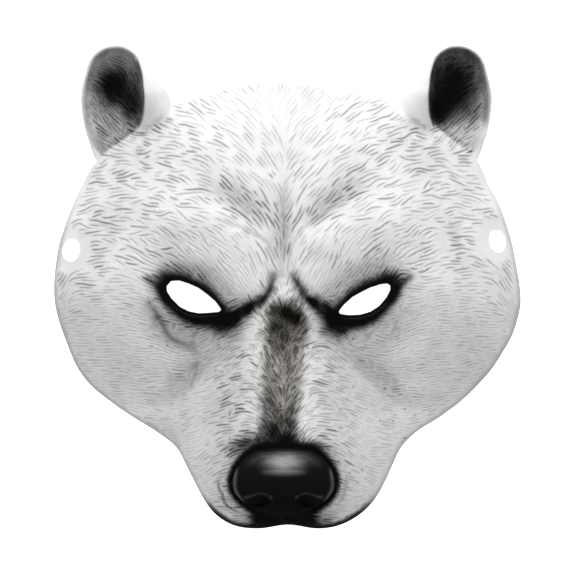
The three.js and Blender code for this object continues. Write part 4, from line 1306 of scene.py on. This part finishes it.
# Painted highlights and reflections: one broad pale patch, a streak down each side and one over each nostril.
# Points from the nose's middle, half width, how pale, how much it fades along its way.
HIGHLIGHT_STREAKS = [
    ([(19.6, -75), (20, -83), (17, -89)], 0.8, 0.5, 0.5),
    ([(5, -86.5), (10, -84.6), (15.5, -86.5)], 0.7, 0.25, 0),
]
nx, ny = nose_points[:, 0], nose_points[:, 1]
highlight_grain = 0.97 + 0.08 * soft_noise(nx / 5, ny, 1.4, 61) + 0.08 * soft_noise(nx, ny, 9, 62)
painted_highlight = highlight_grain * patch(nx, ny, NOSE_MIDDLE[0] + 0.4, -71.9, 9.4, 4.0, 0, 1.25)
for side in (-1, 1):
    for line, half, pale, fade in HIGHLIGHT_STREAKS:
        streak, along = line_distance(nx, ny, [(NOSE_MIDDLE[0] + side * x, y) for x, y in line])
        painted_highlight += pale * np.exp(-((streak / half) ** 2)) * (1 - fade * along)
painted_highlight = np.clip(painted_highlight, 0, 1)
shine = join(patch(nx, ny, NOSE_MIDDLE[0], -71.5, 13, 4.6, 0, 2), painted_highlight)
nose = make_mesh("nose_pad", nose_points, np.vstack(nose_faces), {"painted_highlight": painted_highlight, "shine": shine})
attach(nose, "root")
print("nose_pad", len(nose.data.polygons), "triangles, top at %.1f mm" % nose_points[:, 2].max())

# %% [markdown]
# ## Materials as sums
# A material is a net of nodes. Written as sums of sockets it reads like the rule it
# stand for: the small class below wraps one output of a node, and its operators add the
# Math node that the sum needs.

# %% A socket that can be added and multiplied
def sum_of(operation, wire_last=False):
    """A method that adds one Math node to the tree, with the wire first or last in it."""
    def method(wire, other):
        return wire.sum_node(operation, *((other, wire) if wire_last else (wire, other)))
    return method


class Wire:
    """One output socket of a material's node tree."""

    __add__, __radd__ = sum_of("ADD"), sum_of("ADD", True)
    __sub__, __rsub__ = sum_of("SUBTRACT"), sum_of("SUBTRACT", True)
    __mul__, __pow__ = sum_of("MULTIPLY"), sum_of("POWER")

    def __init__(self, tree, socket=None):
        self.tree, self.socket = tree, socket

    def node(self, kind, settings=None, sockets=None, output=0):
        """Any node: its type, its settings, the values or links of its sockets."""
        made = self.tree.nodes.new(kind)
        for name, value in (settings or {}).items():
            setattr(made, name, value)
        for name, value in (sockets or {}).items():
            if isinstance(value, Wire):
                self.tree.links.new(value.socket, made.inputs[name])
            else:
                made.inputs[name].default_value = (*value, 1) if isinstance(value, tuple) else value
        return Wire(self.tree, made.outputs[output])

    def sum_node(self, operation, *values):
        return self.node("ShaderNodeMath", {"operation": operation}, dict(enumerate(values)))

    def noise(self, place, scale, detail, roughness):
        sockets = {"Vector": place, "Scale": scale, "Detail": detail, "Roughness": roughness}
        return self.node("ShaderNodeTexNoise", {}, sockets)

    def kept(self, name):
        """The number of that name that the mesh keeps at its points."""
        return self.node("ShaderNodeAttribute", {"attribute_name": name}, output=2)

    def bump(self, strength, distance):
        return self.node("ShaderNodeBump", {}, {"Strength": strength, "Distance": distance, "Height": self})

    def between(self, low, high):
        """0 below low, 1 above high, and a soft step from one to the other."""
        sockets = {"Value": self, "From Min": low, "From Max": high, "To Min": 0.0, "To Max": 1.0}
        return self.node("ShaderNodeMapRange", {"interpolation_type": "SMOOTHSTEP"}, sockets)

    def cover(self, power):
        """A layer of paint this strong, bent so that thin paint doesn't look too light."""
        return 1 - self.sum_node("MAXIMUM", 1 - self, 0.0) ** power

    def mix(self, first, second):
        """first where this is 0 and second where it is 1."""
        return self.node("ShaderNodeMix", {"data_type": "RGBA"}, {0: self, 6: first, 7: second}, 2)


def colour(red, green, blue):
    """A colour as seen on a screen, 0 to 255, as the light values that shaders use."""
    shares = [c / 255 for c in (red, green, blue)]
    return tuple(((c + 0.055) / 1.055) ** 2.4 if c > 0.04 else c / 12.92 for c in shares)


def new_material(name):
    """A material with an empty tree, and a wire to start its sums from."""
    made = bpy.data.materials.new(name)
    made.use_nodes = True
    made.node_tree.nodes.clear()
    return made, Wire(made.node_tree)


def finish_material(made, start, shader_sockets, dull=None):
    """Ends a material with its shader; dull is where it has no shine at all, and that colour."""
    shader = start.node("ShaderNodeBsdfPrincipled", {}, shader_sockets)
    if dull:
        flat = start.node("ShaderNodeBsdfDiffuse", {}, {"Color": dull[1]})
        shader = start.node("ShaderNodeMixShader", {}, {0: dull[0], 1: shader, 2: flat})
    out = made.node_tree.nodes.new("ShaderNodeOutputMaterial")
    made.node_tree.links.new(shader.socket, out.inputs["Surface"])
    print(made.name, len(made.node_tree.nodes), "nodes")
    return made


# %% [markdown]
# ## Painted foam
# The foam has a fine closed skin with tiny pores. The grey, partly wash and partly painted
# shade, sits in the grooves, creases and hollows, and the sprayed black breaks up into specks
# at its edge.

# %% The foam's material
foam, start = new_material("painted_foam")
place = start.node("ShaderNodeTexCoord", output=3)
soot_wire, groove_grey_and_shade_wire, film_and_shade_wire, warm_wire = map(start.kept, ("soot", "groove_grey_and_shade", "film_and_shade", "warm"))
cloudy = start.noise(place, 60.0, 4.0, 0.6).between(0.3, 0.75)
white = cloudy.mix(colour(252, 252, 251), colour(240, 242, 242))
# Grey over the white: wash and painted shade in the grooves, and the grey film with its painted shade.
held = (groove_grey_and_shade_wire * 0.62 + film_and_shade_wire * (0.75 + groove_grey_and_shade_wire * 0.6)).cover(1.7)
greyed_and_shaded = held.mix(white, colour(84, 87, 91))
speck = start.noise(place, 1300.0, 2.0, 0.6)
covered = (soot_wire + (speck - 0.5) * soot_wire * (1 - soot_wire) * 1.6).cover(2.1)
tinted = (warm_wire * soot_wire).mix(greyed_and_shaded, colour(226, 214, 203))
painted = covered.mix(tinted, colour(13, 13, 12))
finish_material(foam, start, {
    "Base Color": painted,
    "Roughness": 0.75 - soot_wire * 0.2,
    "Specular IOR Level": 0.12,
    "Normal": start.noise(place, 2200.0, 3.0, 0.65).bump(0.15, 0.0004),
}, (covered ** 2 * 0.9, painted))
skin.data.materials.append(foam)

# %% [markdown]
# ## Gloss paint on the nose
# Several coats of black paint leave a soft shine with faint brush lines. Pale patches and
# streaks in its colour are painted highlights and reflections of the lamps.

# %% The nose's material
gloss, start = new_material("gloss_black")
place = start.node("ShaderNodeTexCoord", output=3)
wear = start.noise(place, 90.0, 3.0, 0.5)
painted_highlight_wire = start.kept("painted_highlight")
black = wear.between(0.3, 0.8).mix(colour(9, 9, 9), colour(16, 16, 16))
finish_material(gloss, start, {
    # Base colour: the black, paled where highlights and reflections are painted.
    "Base Color": (painted_highlight_wire * painted_highlight_wire).mix(black, colour(168, 168, 167)),
    "Roughness": 0.34 + wear * 0.16,
    "Specular IOR Level": 0.08,
    "Coat Weight": 0.4,
    "Coat Roughness": 0.22,
    "Normal": start.noise(place, 420.0, 3.0, 0.5).bump(0.25, 0.0005),
}, (1 - start.kept("shine") * 0.9, colour(20, 20, 20)))
nose.data.materials.append(gloss)

# %% [markdown]
# ## Floor, light and camera
# The photograph has no horizon and no shadow, so the floor is white and glows a little,
# and it also shows through the eye holes. The light is a broad soft one from above the
# forehead, with a weaker fill. The camera looks straight down from far away through a
# long lens, so the muzzle isn't swollen.

# %% The floor
mesh = bpy.data.meshes.new("floor")
mesh.from_pydata([(-2, -2, 0), (2, -2, 0), (2, 2, 0), (-2, 2, 0)], [], [(0, 1, 2, 3)])
floor = bpy.data.objects.new("floor", mesh)
bpy.context.collection.objects.link(floor)
floor.location.z = -0.0004
pale, start = new_material("pale_floor")
grain = start.node("ShaderNodeTexNoise", {}, {"Scale": 30.0})
finish_material(pale, start, {
    "Base Color": grain.mix(colour(238, 238, 238), colour(244, 244, 244)),
    "Roughness": 0.9,
    "Emission Color": (1.0, 1.0, 1.0),
    "Emission Strength": 0.9,
})
mesh.materials.append(pale)


# %% The lights
def soft_light(name, place, towards, size, power):
    light = bpy.data.lights.new(name, "AREA")
    light.shape, light.size, light.energy = "DISK", size, power
    lamp = bpy.data.objects.new(name, light)
    bpy.context.collection.objects.link(lamp)
    lamp.location = place
    lamp.rotation_euler = (Vector(towards) - Vector(place)).to_track_quat("-Z", "Y").to_euler()
    return lamp


soft_light("top_light", (0.0, 0.85, 1.15), (0, 0.02, 0.03), 0.65, 15.9)
soft_light("front_light", (0.0, -1.0, 0.95), (0, -0.03, 0.03), 0.8, 4.2)
world = bpy.data.worlds.new("studio")
world.use_nodes = True
world.node_tree.nodes["Background"].inputs["Color"].default_value = (1, 1, 1, 1)
world.node_tree.nodes["Background"].inputs["Strength"].default_value = 0.12
bpy.context.scene.world = world

# %% The camera
PICTURE = 576
PIXELS_PER_MM = 2.294
CAMERA_HEIGHT = 1.5
lens = bpy.data.cameras.new("camera")
lens.sensor_width = 36
lens.lens = 36 * CAMERA_HEIGHT / (PICTURE / PIXELS_PER_MM * MM)
lens.clip_end = 20
camera = bpy.data.objects.new("camera", lens)
bpy.context.collection.objects.link(camera)
camera.location = (shift[0] * MM, (shift[1] - 1 / PIXELS_PER_MM) * MM, CAMERA_HEIGHT)
bpy.context.scene.camera = camera
bpy.context.scene.view_settings.view_transform = "Standard"
print("lens %.0f mm" % lens.lens)
